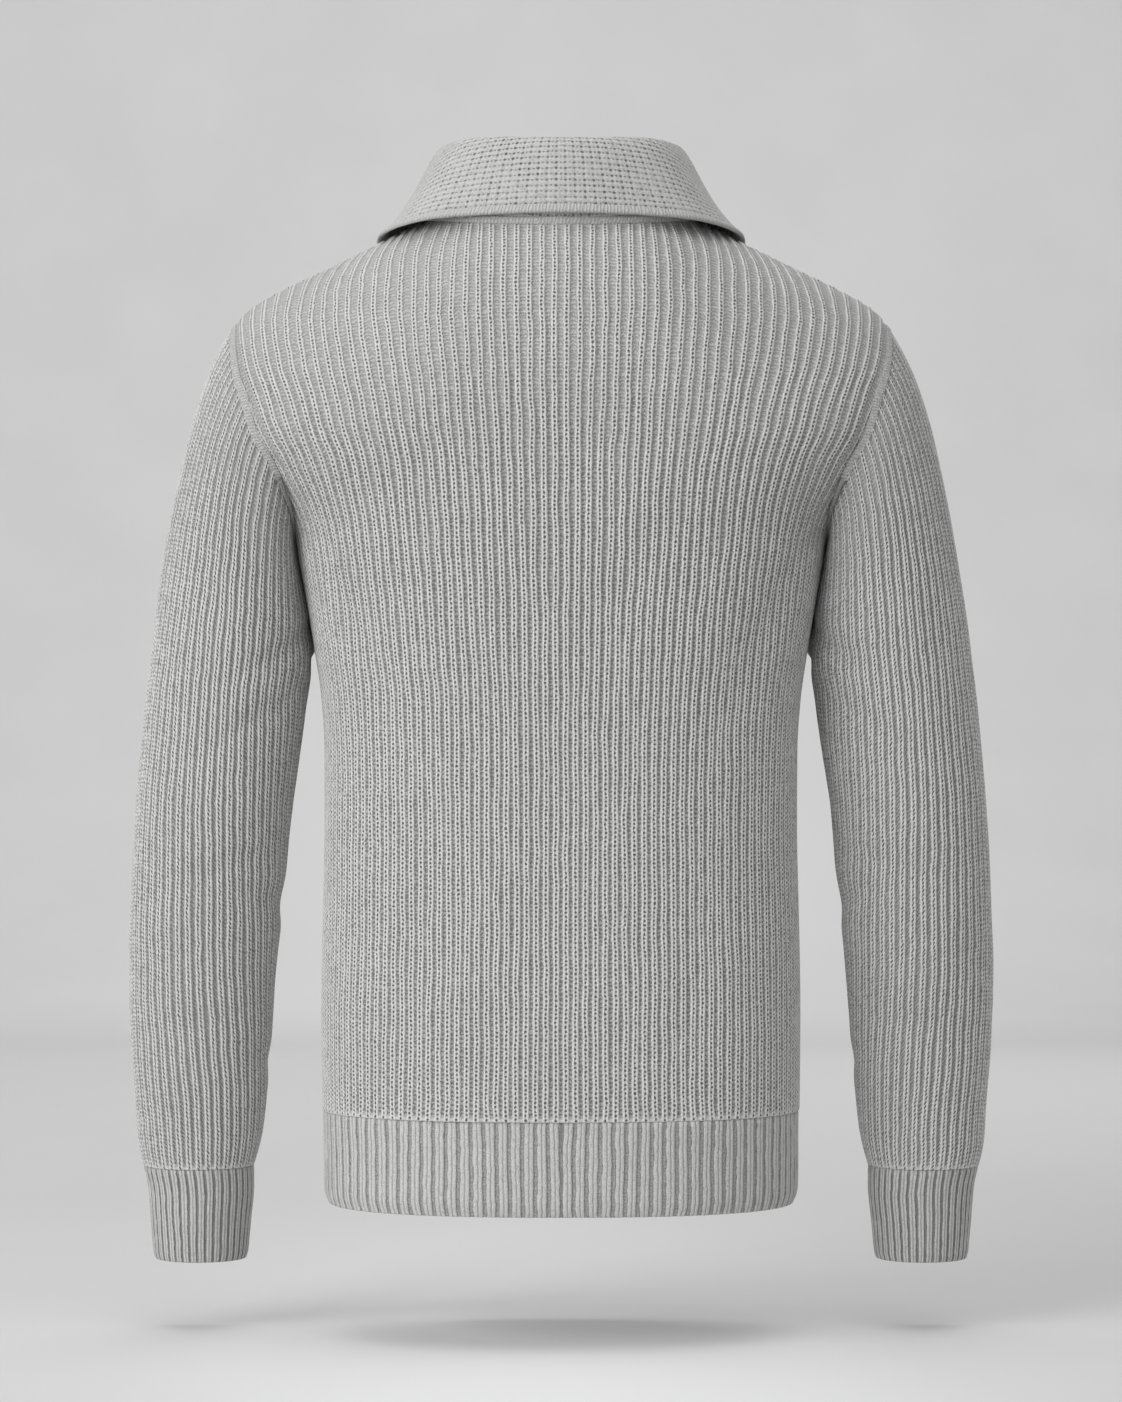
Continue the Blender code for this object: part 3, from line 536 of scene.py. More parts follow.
def panel(name, section, inner_step=8):
    side = section.side
    half = np.append(rib_columns(SIDE_RIBS), SIDE_RIBS)
    ribs = np.concatenate([-half[:0:-1], half])
    count = np.abs(ribs)
    sign = np.where(ribs < 0, -1.0, 1.0)

    # Where each column ends: on the neckline, the shoulder line or the armhole
    lean = LEAN * step((count - 5) / 8) * (1 - step((count - 17.5) / 6))
    tip_ribs = section.edge_ribs[-1]
    at_tip = SHOULDER_TIP + 0 * count
    tip_run = section.rib_run(np.clip(count - lean, 0, tip_ribs), at_tip)
    end = section.top(section.place(tip_run, at_tip)[0])
    above = section.heights >= UNDERARM
    fine, reach = section.heights[above], section.edge_ribs[above]
    falling = np.concatenate([[True], np.diff(reach) < 0])
    beyond = count > tip_ribs
    end = np.where(beyond, np.interp(-count, -reach[falling], fine[falling]), end)

    part = spread(UPPER_ROWS, 0.7)[1:]
    slit_row = None
    if side < 0:
        slit_part = (SLIT_BOTTOM - ROW_CHANGE) / (end[np.argmin(np.abs(ribs - SLIT_RIBS))] - ROW_CHANGE)
        slit_row = int(np.argmin(np.abs(part - slit_part)))
        part[slit_row] = slit_part
        slit_row += LOWER_ROWS
    level = np.concatenate([PANEL_BOTTOM + np.array(PANEL_END),
                            np.linspace(PANEL_BOTTOM + 5.0, ROW_CHANGE, LOWER_ROWS - len(PANEL_END))])
    lower = np.repeat(level[:, None], len(ribs), axis=1)
    height = np.concatenate([lower, ROW_CHANGE + (end - ROW_CHANGE)[None, :] * part[:, None]])
    to_end = end[None, :] - height
    wobble = 0.075 * noise(ribs[None, :] * 0.45, height / 26, 21 + side)
    wobble = wobble + 0.05 * noise(ribs[None, :] * 0.9, height / 11, 23 + side)
    wobble = wobble * np.clip(to_end / 30, 0, 1) * np.minimum(1, (SIDE_RIBS - count) / 3)
    leaning = lean[None, :] * np.clip(1 - to_end / LEAN_HEIGHT, 0, 1) ** 2
    run = section.rib_run(np.maximum(count[None, :] - leaning + wobble * sign, 0), height)
    base = section.point(run, height) * np.stack([sign, sign * 0 + 1, sign * 0 + 1], axis=-1)

    normals = grid_normals(base, False)
    normals = normals * np.sign((normals * (base * (1, 1, 0)))[0].sum())
    normals[:, 0, 1] = normals[:, -1, 1] = 0.0
    neck = np.abs(base[-1, :, 0]) < NECK_HALF_WIDTH
    on_shoulder = ~neck & ~beyond
    normals[-1, on_shoulder, 1] = 0.0
    normals = unit(normals)

    # Furrows are nearly closed at the panel's bottom, its neckline and its shoulder line
    pitch = pitches(base, ribs, 0)
    along = run_lengths(base)
    from_end = along[-1][None, :] - along
    closed = np.maximum(step(1.35 - along / 3.2), np.where(neck[None, :], step(1.3 - from_end / 3.0), 0))
    closed = np.maximum(closed, np.where(on_shoulder[None, :], 0.9 * step(1.2 - from_end / 3.5), 0))
    end_fall = 0.25 * step(1 - along / 0.8) + np.where(neck[None, :], 0.4 * step(1 - from_end / 1.5), 0)
    depth = rib_depth(ribs[None, :], pitch) * (1 - 0.7 * closed) + end_fall
    from_armhole = (np.interp(height, section.heights, section.edge_ribs) - count[None, :]) * pitch
    depth = depth * (1 - 0.75 * step(1 - from_armhole / 3.5) * step((height - UNDERARM) / 8 + 0.5))
    calm = np.minimum(1, np.minimum(from_end / 25, (SIDE_RIBS - count)[None, :] / 2.5 + 0.15))
    fold = body_fold(side, base) * calm
    outer = base - normals * (depth + fold)[..., None]
    kept = sorted(set(range(0, len(height), inner_step)) | {len(height) - 1, slit_row or 0})
    inner = (base - normals * (INNER_DEPTH + fold[..., None]))[kept]
    if side > 0:
        return shell(name, outer[:, ::-1], inner[:, ::-1], kept, ribs[::-1], along[:, ::-1] / COURSE,
                     pitch[:, ::-1], closed[:, ::-1])
    left, right = (int(np.argmin(np.abs(ribs - place))) for place in (-SLIT_RIBS, SLIT_RIBS))
    at_slit = (height > SLIT_BOTTOM - 2) & (np.abs(count - SLIT_RIBS) < 0.9)[None, :]
    outer = np.where(at_slit[..., None], base - normals * 0.5, outer)
    return shell(name, outer, inner, kept, ribs, along / COURSE, pitch, closed, slit=(slit_row, left, right))


def armhole_loop(shares):
    """Points of the armhole's edge and the body's normals there. shares run from -1 (front underarm)
    past the shoulder tip (0) to 1 (back underarm)."""
    points = np.zeros((len(shares), 3))
    normals = np.zeros((len(shares), 3))
    heights = SHOULDER_TIP + (UNDERARM - SHOULDER_TIP) * np.linspace(0, 1, 700) ** 2
    for section in (BACK, FRONT):
        edge = section.edge_run(heights)
        line = section.point(edge, heights)
        beside = section.point(edge - 1.5, heights)
        line[0, 1] = line[-1, 1] = 0.0
        out = unit(np.cross(np.gradient(line, axis=0), line - beside)) * section.side
        out = out * np.sign(out[len(out) // 2, 1] * section.side)
        out[-1] = (1.0, 0.0, 0.0)
        out[0, 1] = 0.0
        run = line_run(line)
        here = shares >= 0 if section.side > 0 else shares < 0
        at = np.abs(shares[here]) * run[-1]
        for axis in range(3):
            points[here, axis] = np.interp(at, run, line[:, axis])
            normals[here, axis] = np.interp(at, run, out[:, axis])
    return points, unit(normals)


def tube(table, heights, turns):
    """Rings of a tube from its table, one for each height."""
    inner = smooth(table, 1, heights)[:, None]
    outer = smooth(table, 2, heights)[:, None]
    x = (inner + outer) / 2 + (outer - inner) / 2 * np.cos(turns)[None, :]
    y = smooth(table, 3, heights)[:, None] + smooth(table, 4, heights)[:, None] * np.sin(turns)[None, :]
    return np.stack([x, y, np.broadcast_to(heights[:, None], x.shape)], axis=-1)


SLEEVE_RADIUS = 52.0
SLEEVE_CREASES = (
    # turn round the sleeve in degrees (90 back, 180 to the body, 270 front), height, slant, half length
    # round the sleeve, half width, depth
    (150.0, -300.0, 24.0, 52.0, 9.0, 2.6),
    (205.0, -318.0, -18.0, 46.0, 10.0, 2.4),
    (120.0, -352.0, 30.0, 44.0, 9.0, 1.6),
    (235.0, -366.0, -26.0, 48.0, 10.0, 1.9),
    (110.0, -452.0, 14.0, 46.0, 9.0, 1.5),
    (160.0, -476.0, -12.0, 50.0, 9.0, 2.0),
    (220.0, -462.0, 16.0, 52.0, 10.0, 2.2),
    (255.0, -498.0, -14.0, 48.0, 10.0, 1.8),
    (95.0, -560.0, 12.0, 44.0, 10.0, 1.2),
    (190.0, -588.0, -10.0, 50.0, 9.0, 1.5),
    (40.0, -520.0, 16.0, 40.0, 12.0, 1.0),
    (310.0, -540.0, -16.0, 44.0, 12.0, 1.2),
)


def sleeve_fold(turns, grid, seed):
    """How far soft creases push a sleeve's surface in, in mm. turns has a value for each point."""
    x, z = grid[..., 0], grid[..., 2]
    degrees = np.degrees(turns) % 360
    depth = 0.6 * noise(2.1 * np.cos(turns), z / 60, seed)
    depth = depth + 0.4 * noise(2.3 * np.sin(turns), z / 31, seed + 4)
    for turn, height, slant, half_length, half_width, amount in SLEEVE_CREASES:
        around = ((degrees - turn + 180) % 360 - 180) * math.pi / 180 * SLEEVE_RADIUS
        rise = z - height - around * math.tan(math.radians(slant))
        rise = rise + 2.5 * noise(around / 23, 0 * around, seed + 9)
        depth = depth + amount * np.exp(-((around / half_length) ** 2) * 1.5 - (rise / half_width) ** 2)
    return depth


def sleeve_ways(shares):
    """Directions in which the sleeve leaves the armhole."""
    size = np.abs(shares)
    side = np.where(shares >= 0, 1.0, -1.0)
    return unit(np.stack([smooth(SLEEVE_HEAD, 1, size), side * smooth(SLEEVE_HEAD, 2, size),
                          -smooth(SLEEVE_HEAD, 3, size)], axis=1))


def sleeve_form(shares):
    """The sleeve's outer form: rings from the armhole to the wrist. shares run from -1 to 1 round it."""
    turns = math.pi * shares
    size = np.abs(shares)
    leaving = sleeve_ways(shares)
    start = armhole_loop(shares)[0] + 0.3 * leaving
    lower = tube(SLEEVE, np.concatenate([np.linspace(SLEEVE_TOP, SLEEVE_BOTTOM + 5, SLEEVE_ROWS),
                                         SLEEVE_BOTTOM + np.array(SLEEVE_END)]), turns)
    top_two = tube(SLEEVE, np.array([SLEEVE_TOP - 1.0, SLEEVE_TOP]), turns)
    first = leaving * smooth(SLEEVE_HEAD, 4, size)[:, None]
    last = unit(top_two[0] - top_two[1]) * smooth(SLEEVE_HEAD, 5, size)[:, None]
    t = np.linspace(0, 1, HEAD_ROWS + 1)[:-1, None, None]
    head = ((1 + 2 * t) * (1 - t) ** 2 * start + t * (1 - t) ** 2 * first
            + t**2 * (3 - 2 * t) * lower[0] - t**2 * (1 - t) * last)
    form = np.concatenate([head, lower])

    # Under the arm the sleeve comes close to the body, first all round and then only where it's hidden
    level = form[:, 0, 2]
    spare = np.maximum(form[:, 0, 0] - smooth(BODY, 1, level) - UNDERARM_GAP, 0)
    spare = spare * step((level - SLEEVE_TOP) / 42)
    form[..., 0] -= spare[:, None] * ((1 - np.cos(turns)) / 2)[None, :] ** 3
    flat = np.clip(-form[..., 1] / smooth(BODY, 3, form[..., 2]), 0, 1) ** BODY_SHAPE
    limit = smooth(BODY, 1, form[..., 2]) * (1 - flat) ** (1 / BODY_SHAPE) + UNDERARM_GAP
    near = step((form[..., 2] - SLEEVE_TOP) / 48) * step((UNDERARM - 4 - form[..., 2]) / 30)
    hidden = ((1 - np.cos(turns - UNDERARM_TURN)) / 2)[None, :] ** 9
    form[..., 0] -= np.maximum(form[..., 0] - limit, 0) * near * hidden
    return form


def sleeve(name, mirror):
    seed = 31 if mirror else 41
    half = SLEEVE_RIBS / 2
    regular = np.linspace(-1, 1, ROUND_SAMPLES + 1)
    form = sleeve_form(regular[:-1])
    form_normals = outward_normals(form)
    form, form_normals = (np.concatenate([grid, grid[:, :1]], axis=1) for grid in (form, form_normals))

    # Ribs keep their width as the sleeve narrows, so that some end on the underarm seam
    half_round = np.linalg.norm(np.diff(form, axis=1), axis=2).sum(axis=1) / 2
    down = np.clip((SLEEVE_TOP - form[:, 0, 2]) / (SLEEVE_TOP - SLEEVE_BOTTOM), 0, 1)
    down[:HEAD_ROWS] = 0.0
    reach = (half - (half - CUFF_RIBS / 2) * down)[:, None]
    ribs = rib_columns(SLEEVE_RIBS)
    count = (ribs - half)[None, :]
    from_seam = reach - np.abs(count)
    along_middle = run_lengths(form[:, ::60])[:, 4:5]
    wobble = 0.07 * noise(ribs[None, :] * 0.45, along_middle / 24, seed)
    wobble = wobble + 0.05 * noise(ribs[None, :] * 0.9, along_middle / 10, seed + 2)
    calm = np.minimum(1, np.minimum((along_middle[-1] - along_middle) / 22, along_middle / 30))
    shares = np.clip((count + wobble * calm * np.clip(from_seam / 2, 0, 1)) / reach, -1, 1)
    base, normals = (np.stack([np.stack([np.interp(shares[row], regular, grid[row, :, axis])
                                         for axis in range(3)], axis=-1) for row in range(len(form))])
                     for grid in (form, form_normals))
    normals = unit(normals)

    # Furrows are nearly closed at the cuff, and shallow at the armhole and along the underarm seam
    pitch = np.where(from_seam < 1.3, (half_round / reach[:, 0])[:, None], pitches(base, ribs, SLEEVE_RIBS))
    along = run_lengths(base)
    from_end = along[-1][None, :] - along
    at_seam = step(1 - from_seam / 0.3)
    depth = rib_depth(ribs[None, :], pitch) * (1 - at_seam) + 1.1 * at_seam
    closed = step(1.35 - from_end / 3.0)
    depth = depth * (1 - 0.7 * closed) + 0.25 * step(1 - from_end / 0.8)
    depth = depth * (0.35 + 0.65 * step(along / 5)) + 0.5 * step(1 - along / 3)
    fold = sleeve_fold(math.pi * shares, base, seed) * calm
    outer = base - normals * (depth + fold)[..., None]
    kept = sorted(set(range(0, len(form), 9)) | {len(form) - 1})
    inner = (base - normals * (INNER_DEPTH + fold[..., None]))[kept]
    if mirror:
        return shell(name, outer * (-1, 1, 1), inner * (-1, 1, 1), kept, ribs, along / COURSE, pitch, closed,
                     wrap=True)
    return shell(name, outer[:, ::-1], inner[:, ::-1], kept, ribs[::-1], along[:, ::-1] / COURSE,
                 pitch[:, ::-1], closed[:, ::-1], wrap=True)


def band(name, rings_at, table, count, top, bottom, turn_in, seed, flip, mirror=False):
    """A rib band: rings down its outside, round its rolled edge and up its inside.

    Its top is tucked into the wall above it. turn_in is how far its lower end curls in.
    """
    ribs = rib_columns(count)
    roll = WALL / 2
    down = np.concatenate([[top + TUCK, top + 0.4], np.linspace(top, bottom + roll, BAND_ROWS)])
    up = np.linspace(bottom + roll, top + TUCK, 5)
    outer = rings_at(table, down)
    normals = outward_normals(outer)
    pitch = pitches(outer, ribs, count)
    from_top = (top - down)[:, None]
    from_bottom = (down - bottom)[:, None]
    depth = rib_depth(ribs[None, :], pitch, BAND_RIDGE * pitch)
    depth = depth * (1 - 0.6 * step(1 - from_bottom / 5))
    depth = np.where(from_top < 0, TUCK_DEPTH, depth + 0.2 * step(1 - from_top / 0.8))
    sway = 0.06 * noise(ribs[None, :] * 0.5, from_top / 26, seed)
    sway = sway + 0.03 * noise(ribs[None, :], from_top / 9, seed + 1)
    around = unit(np.cross(normals, np.zeros_like(normals) + (0, 0, 1.0)))
    uneven = 0.35 * noise(ribs[None, :] / 9, from_top / 40, seed + 5)

    def curl(above_bottom):
        return turn_in * np.clip(1 - above_bottom / (3.2 * turn_in + 1), 0, 1) ** 2

    fall = (depth + uneven + curl(from_bottom))[..., None]
    skin = outer - normals * fall + around * (sway * pitch)[..., None]
    centre = outer[-1] - normals[-1] * (roll + curl(from_bottom)[-1])
    turned = []
    for angle in np.linspace(0, math.pi, ROLL_ROWS)[1:-1]:
        reach = roll - depth[-1] * (0.65 if angle < math.pi / 2 else 0.35)
        turned.append(centre + normals[-1] * (math.cos(angle) * reach)[:, None]
                      + np.array([0, 0, -1.0]) * (math.sin(angle) * (roll - 0.3 * depth[-1]))[:, None])
    normals_up = np.stack([normals[np.argmin(np.abs(down - height))] for height in up])
    inside = rings_at(table, up) - normals_up * (WALL + 0.2 + curl(up - bottom))[:, None, None]
    grid = np.concatenate([skin, np.array(turned), inside])
    if mirror:
        grid = grid * (-1, 1, 1)
    rows, columns = grid.shape[:2]
    pitch = np.concatenate([pitch, np.repeat(pitch[-1:], rows - len(skin), axis=0)])
    along = run_lengths(grid)
    closed = step(1.2 - np.abs(along - along[2]) / 2.6)
    return build(name, grid.reshape(-1, 3), ring_faces(rows, columns, np.arange(columns), flip),
                 np.tile(ribs, rows), along.ravel() / COURSE, pitch.ravel(), closed.ravel())


def hem_rings(ribs):
    """Rings of the hem at any heights, on its rounded section."""
    quarters = ribs / HEM_RIBS * 4
    kind = np.floor(quarters).astype(int) % 4
    part = np.where(kind % 2 == 0, quarters % 1, 1 - quarters % 1)
    angle = np.linspace(0, math.pi / 2, 2000)

    def rings(table, heights):
        found = np.zeros((len(heights), len(ribs), 3))
        for ring, height in zip(found, heights):
            for side, column, kinds in ((1, 2, (0, 3)), (-1, 3, (1, 2))):
                across, out, run = quarter(smooth(table, 1, height), smooth(table, column, height), angle)
                here = np.isin(kind, kinds)
                at = part[here] * run[-1]
                ring[here, 0] = np.interp(at, run, across) * np.where(kind[here] < 2, 1, -1)
                ring[here, 1] = np.interp(at, run, out) * side
            ring[:, 2] = height
        return found

    return rings


def neck_points(shares):
    """The neckline on the body, from the front edge (-1) past the centre back (0) to the other (1)."""
    angle = math.pi * np.abs(shares)
    back = angle <= math.pi / 2
    across = np.where(back, NECK_HALF_WIDTH * np.sin(angle),
                      SLIT_TOP_HALF_WIDTH + (NECK_HALF_WIDTH - SLIT_TOP_HALF_WIDTH) * np.sin(angle))
    height = NECK_SIDE_HEIGHT + np.where(back, -BACK_NECK_DROP, FRONT_NECK_DROP) * np.cos(angle)
    half_width = smooth(BODY, 1, SHOULDER_TIP)
    depth = np.where(back, smooth(BODY, 2, SHOULDER_TIP), smooth(BODY, 3, SHOULDER_TIP))
    out = depth * (1 - (across / half_width) ** BODY_SHAPE) ** (1 / BODY_SHAPE)
    rounding = np.where(back, BACK_ROUNDING, FRONT_ROUNDING)
    below = np.clip((smooth(SHOULDER_LINE, 1, across) - height) / rounding, 0, 1)
    y = np.where(back, 1, -1) * out * np.sqrt(1 - (1 - below) ** 2)
    return np.stack([across * np.where(shares >= 0, 1, -1), y, height], axis=-1)


def neck_inwards(shares):
    low, high = np.clip(shares - 0.002, -1, 1), np.clip(shares + 0.002, -1, 1)
    around = neck_points(high) - neck_points(low)
    inwards = unit(np.stack([around[:, 1], -around[:, 0], 0 * around[:, 0]], axis=-1))
    towards = (inwards[:, :2] * neck_points(shares)[:, :2]).sum(axis=1)
    return inwards * np.where(towards < 0, 1, -1)[:, None]


def collar_points(shares, rows):
    """The collar's neck side: up the stand (row 0 to 1), then down the leaf (1 to 2)."""
    half = [(-v, -fx, fy, fz, -ex, ey, ez, r) for v, fx, fy, fz, ex, ey, ez, r in COLLAR[:0:-1]]
    table = half + list(COLLAR)
    fold = np.stack([smooth(table, column, shares) for column in (1, 2, 3)], axis=-1)
    edge = np.stack([smooth(table, column, shares) for column in (4, 5, 6)], axis=-1)
    roundness = smooth(table, 7, shares)[:, None]
    foot = neck_points(shares) + WALL * neck_inwards(shares) + np.array([0, 0, COLLAR_LIFT])
    out = unit((edge - fold) * (1, 1, 0))
    rise = np.zeros_like(foot)
    rise[:, 2] = STAND_RISE * (fold - foot)[:, 2]
    hang = edge + LEAF_HANG * (fold - edge) + roundness * out
    stand = (foot, foot + rise, fold - FOLD_REACH * out, fold)
    leaf = (fold, fold + LEAF_REACH * out, hang, edge)
    grid = []
    for row in rows:
        a, b, c, d = stand if row <= 1 else leaf
        t = row if row <= 1 else row - 1
        grid.append((1 - t) ** 3 * a + 3 * t * (1 - t) ** 2 * b + 3 * t**2 * (1 - t) * c + t**3 * d)
    return np.array(grid)


def even_rows(count, low, high):
    """Rows of the collar at even distances along its centre back."""
    fine = np.linspace(low, high, 400)
    run = line_run(collar_points(np.array([0.0]), fine)[:, 0])
    return np.interp(np.linspace(0, run[-1], count), run, fine)


def collar(name):
    fine = np.linspace(-1, 1, 1200)
    run = line_run(collar_points(fine, [1.6])[0])
    wales = int(round(run[-1] / WALE))
    columns = np.arange(wales * WALE_SAMPLES + 1) / WALE_SAMPLES
    shares = np.interp(columns / wales * run[-1], run, fine)
    rows = np.concatenate([even_rows(STAND_ROWS, 0, 1), even_rows(LEAF_ROWS, 1, 2)[1:]])
    base = collar_points(shares, rows)
    normals = grid_normals(base, False)
    normals = normals * np.sign(normals[80, len(shares) // 2, 1])
    along = run_lengths(base)
    to_edge = along[-1][None, :] - along
    pitch = np.clip(pitches(base, columns, 0), 3.5, 8.0)
    welt = step((WELT - to_edge) / 0.9)
    wale_line = 1 - np.abs(np.sin(math.pi * columns))[None, :] ** 0.7
    course_line = 1 - np.abs(np.sin(math.pi * (to_edge - WELT) / COLLAR_COURSE)) ** 0.7
    on_leaf = step((along - along[30][None, :]) / 8)
    depth = 0.12 * wale_line + 0.2 * course_line + 0.5 * wale_line * course_line
    depth = depth * (1 - welt) * (0.35 + 0.65 * on_leaf)
    groove = 0.55 * np.exp(-(((to_edge - WELT) / 0.8) ** 2))
    lip = 0.9 * step(1 - to_edge / 1.6) ** 2
    uneven = 0.35 * noise(columns[None, :] / 9, along / 30, 51)
    outer = base - normals * (depth + groove + lip - 0.25 * welt + uneven)[..., None]
    kept = sorted(set(range(0, len(rows), 6)) | {len(rows) - 1})
    inner = (base - normals * WALL)[kept]
    inner[-1] += normals[-1] * 0.9
    return shell(name, outer, inner, kept, columns, to_edge / COLLAR_COURSE, pitch,
                 step((WELT - to_edge) / 0.6))


def ribbon(name, path, across, out, width, height, sections, pitch, joined=False):
    """A raised band of domed section along a path. across and out are its directions at each point."""
    over = np.linspace(-1, 1, sections)
    grid = np.array([path + across * (part * width / 2) + out * (height - (height + 0.7) * abs(part) ** 5)
                     for part in over]
                    + [path + across * (part * width / 2) - out * 1.9 for part in (1, 0, -1)])
    rows, columns = grid.shape[:2]
    faces = ring_faces(rows, columns, np.arange(columns if joined else columns - 1))
    ribs = np.repeat(np.concatenate([np.linspace(0, 1, sections), [1, 0.5, 0]]), columns)
    along = np.tile(line_run(path) / pitch, rows)
    return build(name, grid.reshape(-1, 3), faces, ribs, along, ribs * 0 + width, ribs * 0)


# Nodes of a material, written as sums and products
class Value:
    def __init__(self, graph, socket):
        self.graph = graph
        self.socket = socket

    def clamp(self):
        return self.graph.math("ADD", self, 0.0, clamp=True)

    def bell(self, width):
        """1 where the value is 0, falling off over a width."""
        part = self / width
        return (part * part * -1.0).exponent()

    def wave(self):
        """From 0 to 1 and back for each whole number."""
        return (self * TURN).sine() * 0.5 + 0.5

    def step(self, low, high):
        """0 below low, 1 above high, and a smooth way between."""
        node = self.graph.add("MapRange", {"From Min": low, "From Max": high, "Value": self})
        node.interpolation_type = "SMOOTHSTEP"
        return Value(self.graph, node.outputs["Result"])


def node_method(operation, swapped):
    def method(self, *other):
        terms = (self, *other)
        return self.graph.math(operation, *(terms[::-1] if swapped else terms))

    return method


for word, operation in (("add", "ADD"), ("sub", "SUBTRACT"), ("mul", "MULTIPLY"), ("truediv", "DIVIDE")):
    setattr(Value, "__" + word + "__", node_method(operation, False))
    setattr(Value, "__r" + word + "__", node_method(operation, True))
for word, operation in (("fract", "FRACT"), ("abs", "ABSOLUTE"), ("sine", "SINE"), ("cosine", "COSINE"),
                        ("exponent", "EXPONENT")):
    setattr(Value, word, node_method(operation, False))


class Graph:
    def __init__(self, name):
        self.material = bpy.data.materials.new(name)
        self.material.use_nodes = True
        self.tree = self.material.node_tree
        self.shader = self.tree.nodes["Principled BSDF"]
        self.coordinates = None

    def add(self, kind, inputs=()):
        """A new node. inputs are values or plain numbers for its sockets."""
        node = self.tree.nodes.new("ShaderNode" + kind)
        for socket in inputs:
            self.link(inputs[socket], node.inputs[socket])
        return node

    def link(self, value, socket):
        if isinstance(value, Value):
            self.tree.links.new(value.socket, socket)
        elif isinstance(value, tuple):
            socket.default_value = (*value, 1.0)
        else:
            socket.default_value = value

    def math(self, operation, first, second=None, clamp=False):
        node = self.add("Math", {0: first} if second is None else {0: first, 1: second})
        node.operation = operation
        node.use_clamp = clamp
        return Value(self, node.outputs[0])

    def split(self, vector):
        node = self.add("SeparateXYZ", {0: vector})
        return [Value(self, node.outputs[axis]) for axis in "XYZ"]

    def knit(self):
        """Places on the knit, counted in ribs and in courses."""
        node = self.add("UVMap")
        node.uv_map = "knit"
        return self.split(Value(self, node.outputs["UV"]))[:2]

    def attribute(self, name):
        node = self.add("Attribute")
        node.attribute_name = name
        return Value(self, node.outputs["Fac"])

    def place(self):
        if self.coordinates is None:
            self.coordinates = self.add("TexCoord")
        return Value(self, self.coordinates.outputs["Object"])

    def noise(self, size, detail=2.0, roughness=0.5, seed=0.0):
        """Noise from 0 to 1 with features of this size in mm."""
        node = self.add("TexNoise")
        node.noise_dimensions = "4D"
        for socket, value in (("Scale", 1 / (size * MM)), ("Detail", detail), ("Roughness", roughness),
                              ("W", seed), ("Vector", self.place())):
            self.link(value, node.inputs[socket])
        return Value(self, node.outputs["Fac"])

    def mix(self, part, first, second, blend="MIX"):
        node = self.add("Mix")
        node.data_type = "RGBA"
        node.blend_type = blend
        for socket, value in (("Factor", part), ("A", first), ("B", second)):
            self.link(value, node.inputs[socket])
        return Value(self, node.outputs["Result"])

    def finish(self, colour, height, roughness=0.92, sheen=0.18, metallic=0.0):
        """The finished material. height is its bump, in mm."""
        bump = self.add("Bump", {"Distance": MM, "Strength": 1.0, "Height": height})
        self.tree.links.new(bump.outputs["Normal"], self.shader.inputs["Normal"])
        for socket, value in (("Base Color", colour), ("Roughness", roughness), ("Metallic", metallic),
                              ("Sheen Weight", sheen), ("Sheen Roughness", 0.45),
                              ("Specular IOR Level", 0.5 if metallic else 0.25)):
            self.link(value, self.shader.inputs[socket])
        return self.material


# The yarn's own grey, then two painted shade greys: one for the knit's furrows, grooves, thin lines and seam
# edges, and a darker one for its holes.
STRAND_GREY = (0.64, 0.64, 0.632)
PAINTED_SHADE_GREY = (0.19, 0.19, 0.188)
HOLE_PAINTED_SHADE_GREY = (0.125, 0.125, 0.124)


def shade(colour, share):
    return tuple(channel * share for channel in colour)


def wool(graph, colour, height, strength=0.9, relief=0.4, **surface):
    """The finished material of wool: its colour made uneven by fibres and in broad patches."""
    fibre = graph.noise(0.8, 3.0, 0.65, 1.0)
    patch = graph.noise(38.0, 2.0, 0.5, 2.0)
    tone = (fibre - 0.5) * strength + (patch - 0.5) * 0.10 + 1.0
    grey = graph.add("CombineColor", {0: tone, 1: tone, 2: tone})
    colour = graph.mix(1.0, colour, Value(graph, grey.outputs[0]), "MULTIPLY")
    return graph.finish(colour, height + (fibre - 0.5) * relief, **surface)


def knit_graph(name, size):
    """A graph with the places on a knit, its point values, fine unevenness of a size, and flecks."""
    graph = Graph(name)
    return (graph, *graph.knit(), graph.attribute("pitch"), graph.attribute("edge"),
            graph.noise(size, 3.0, 0.7, 5.0), graph.noise(1.3, 2.0, 0.6, 8.0))


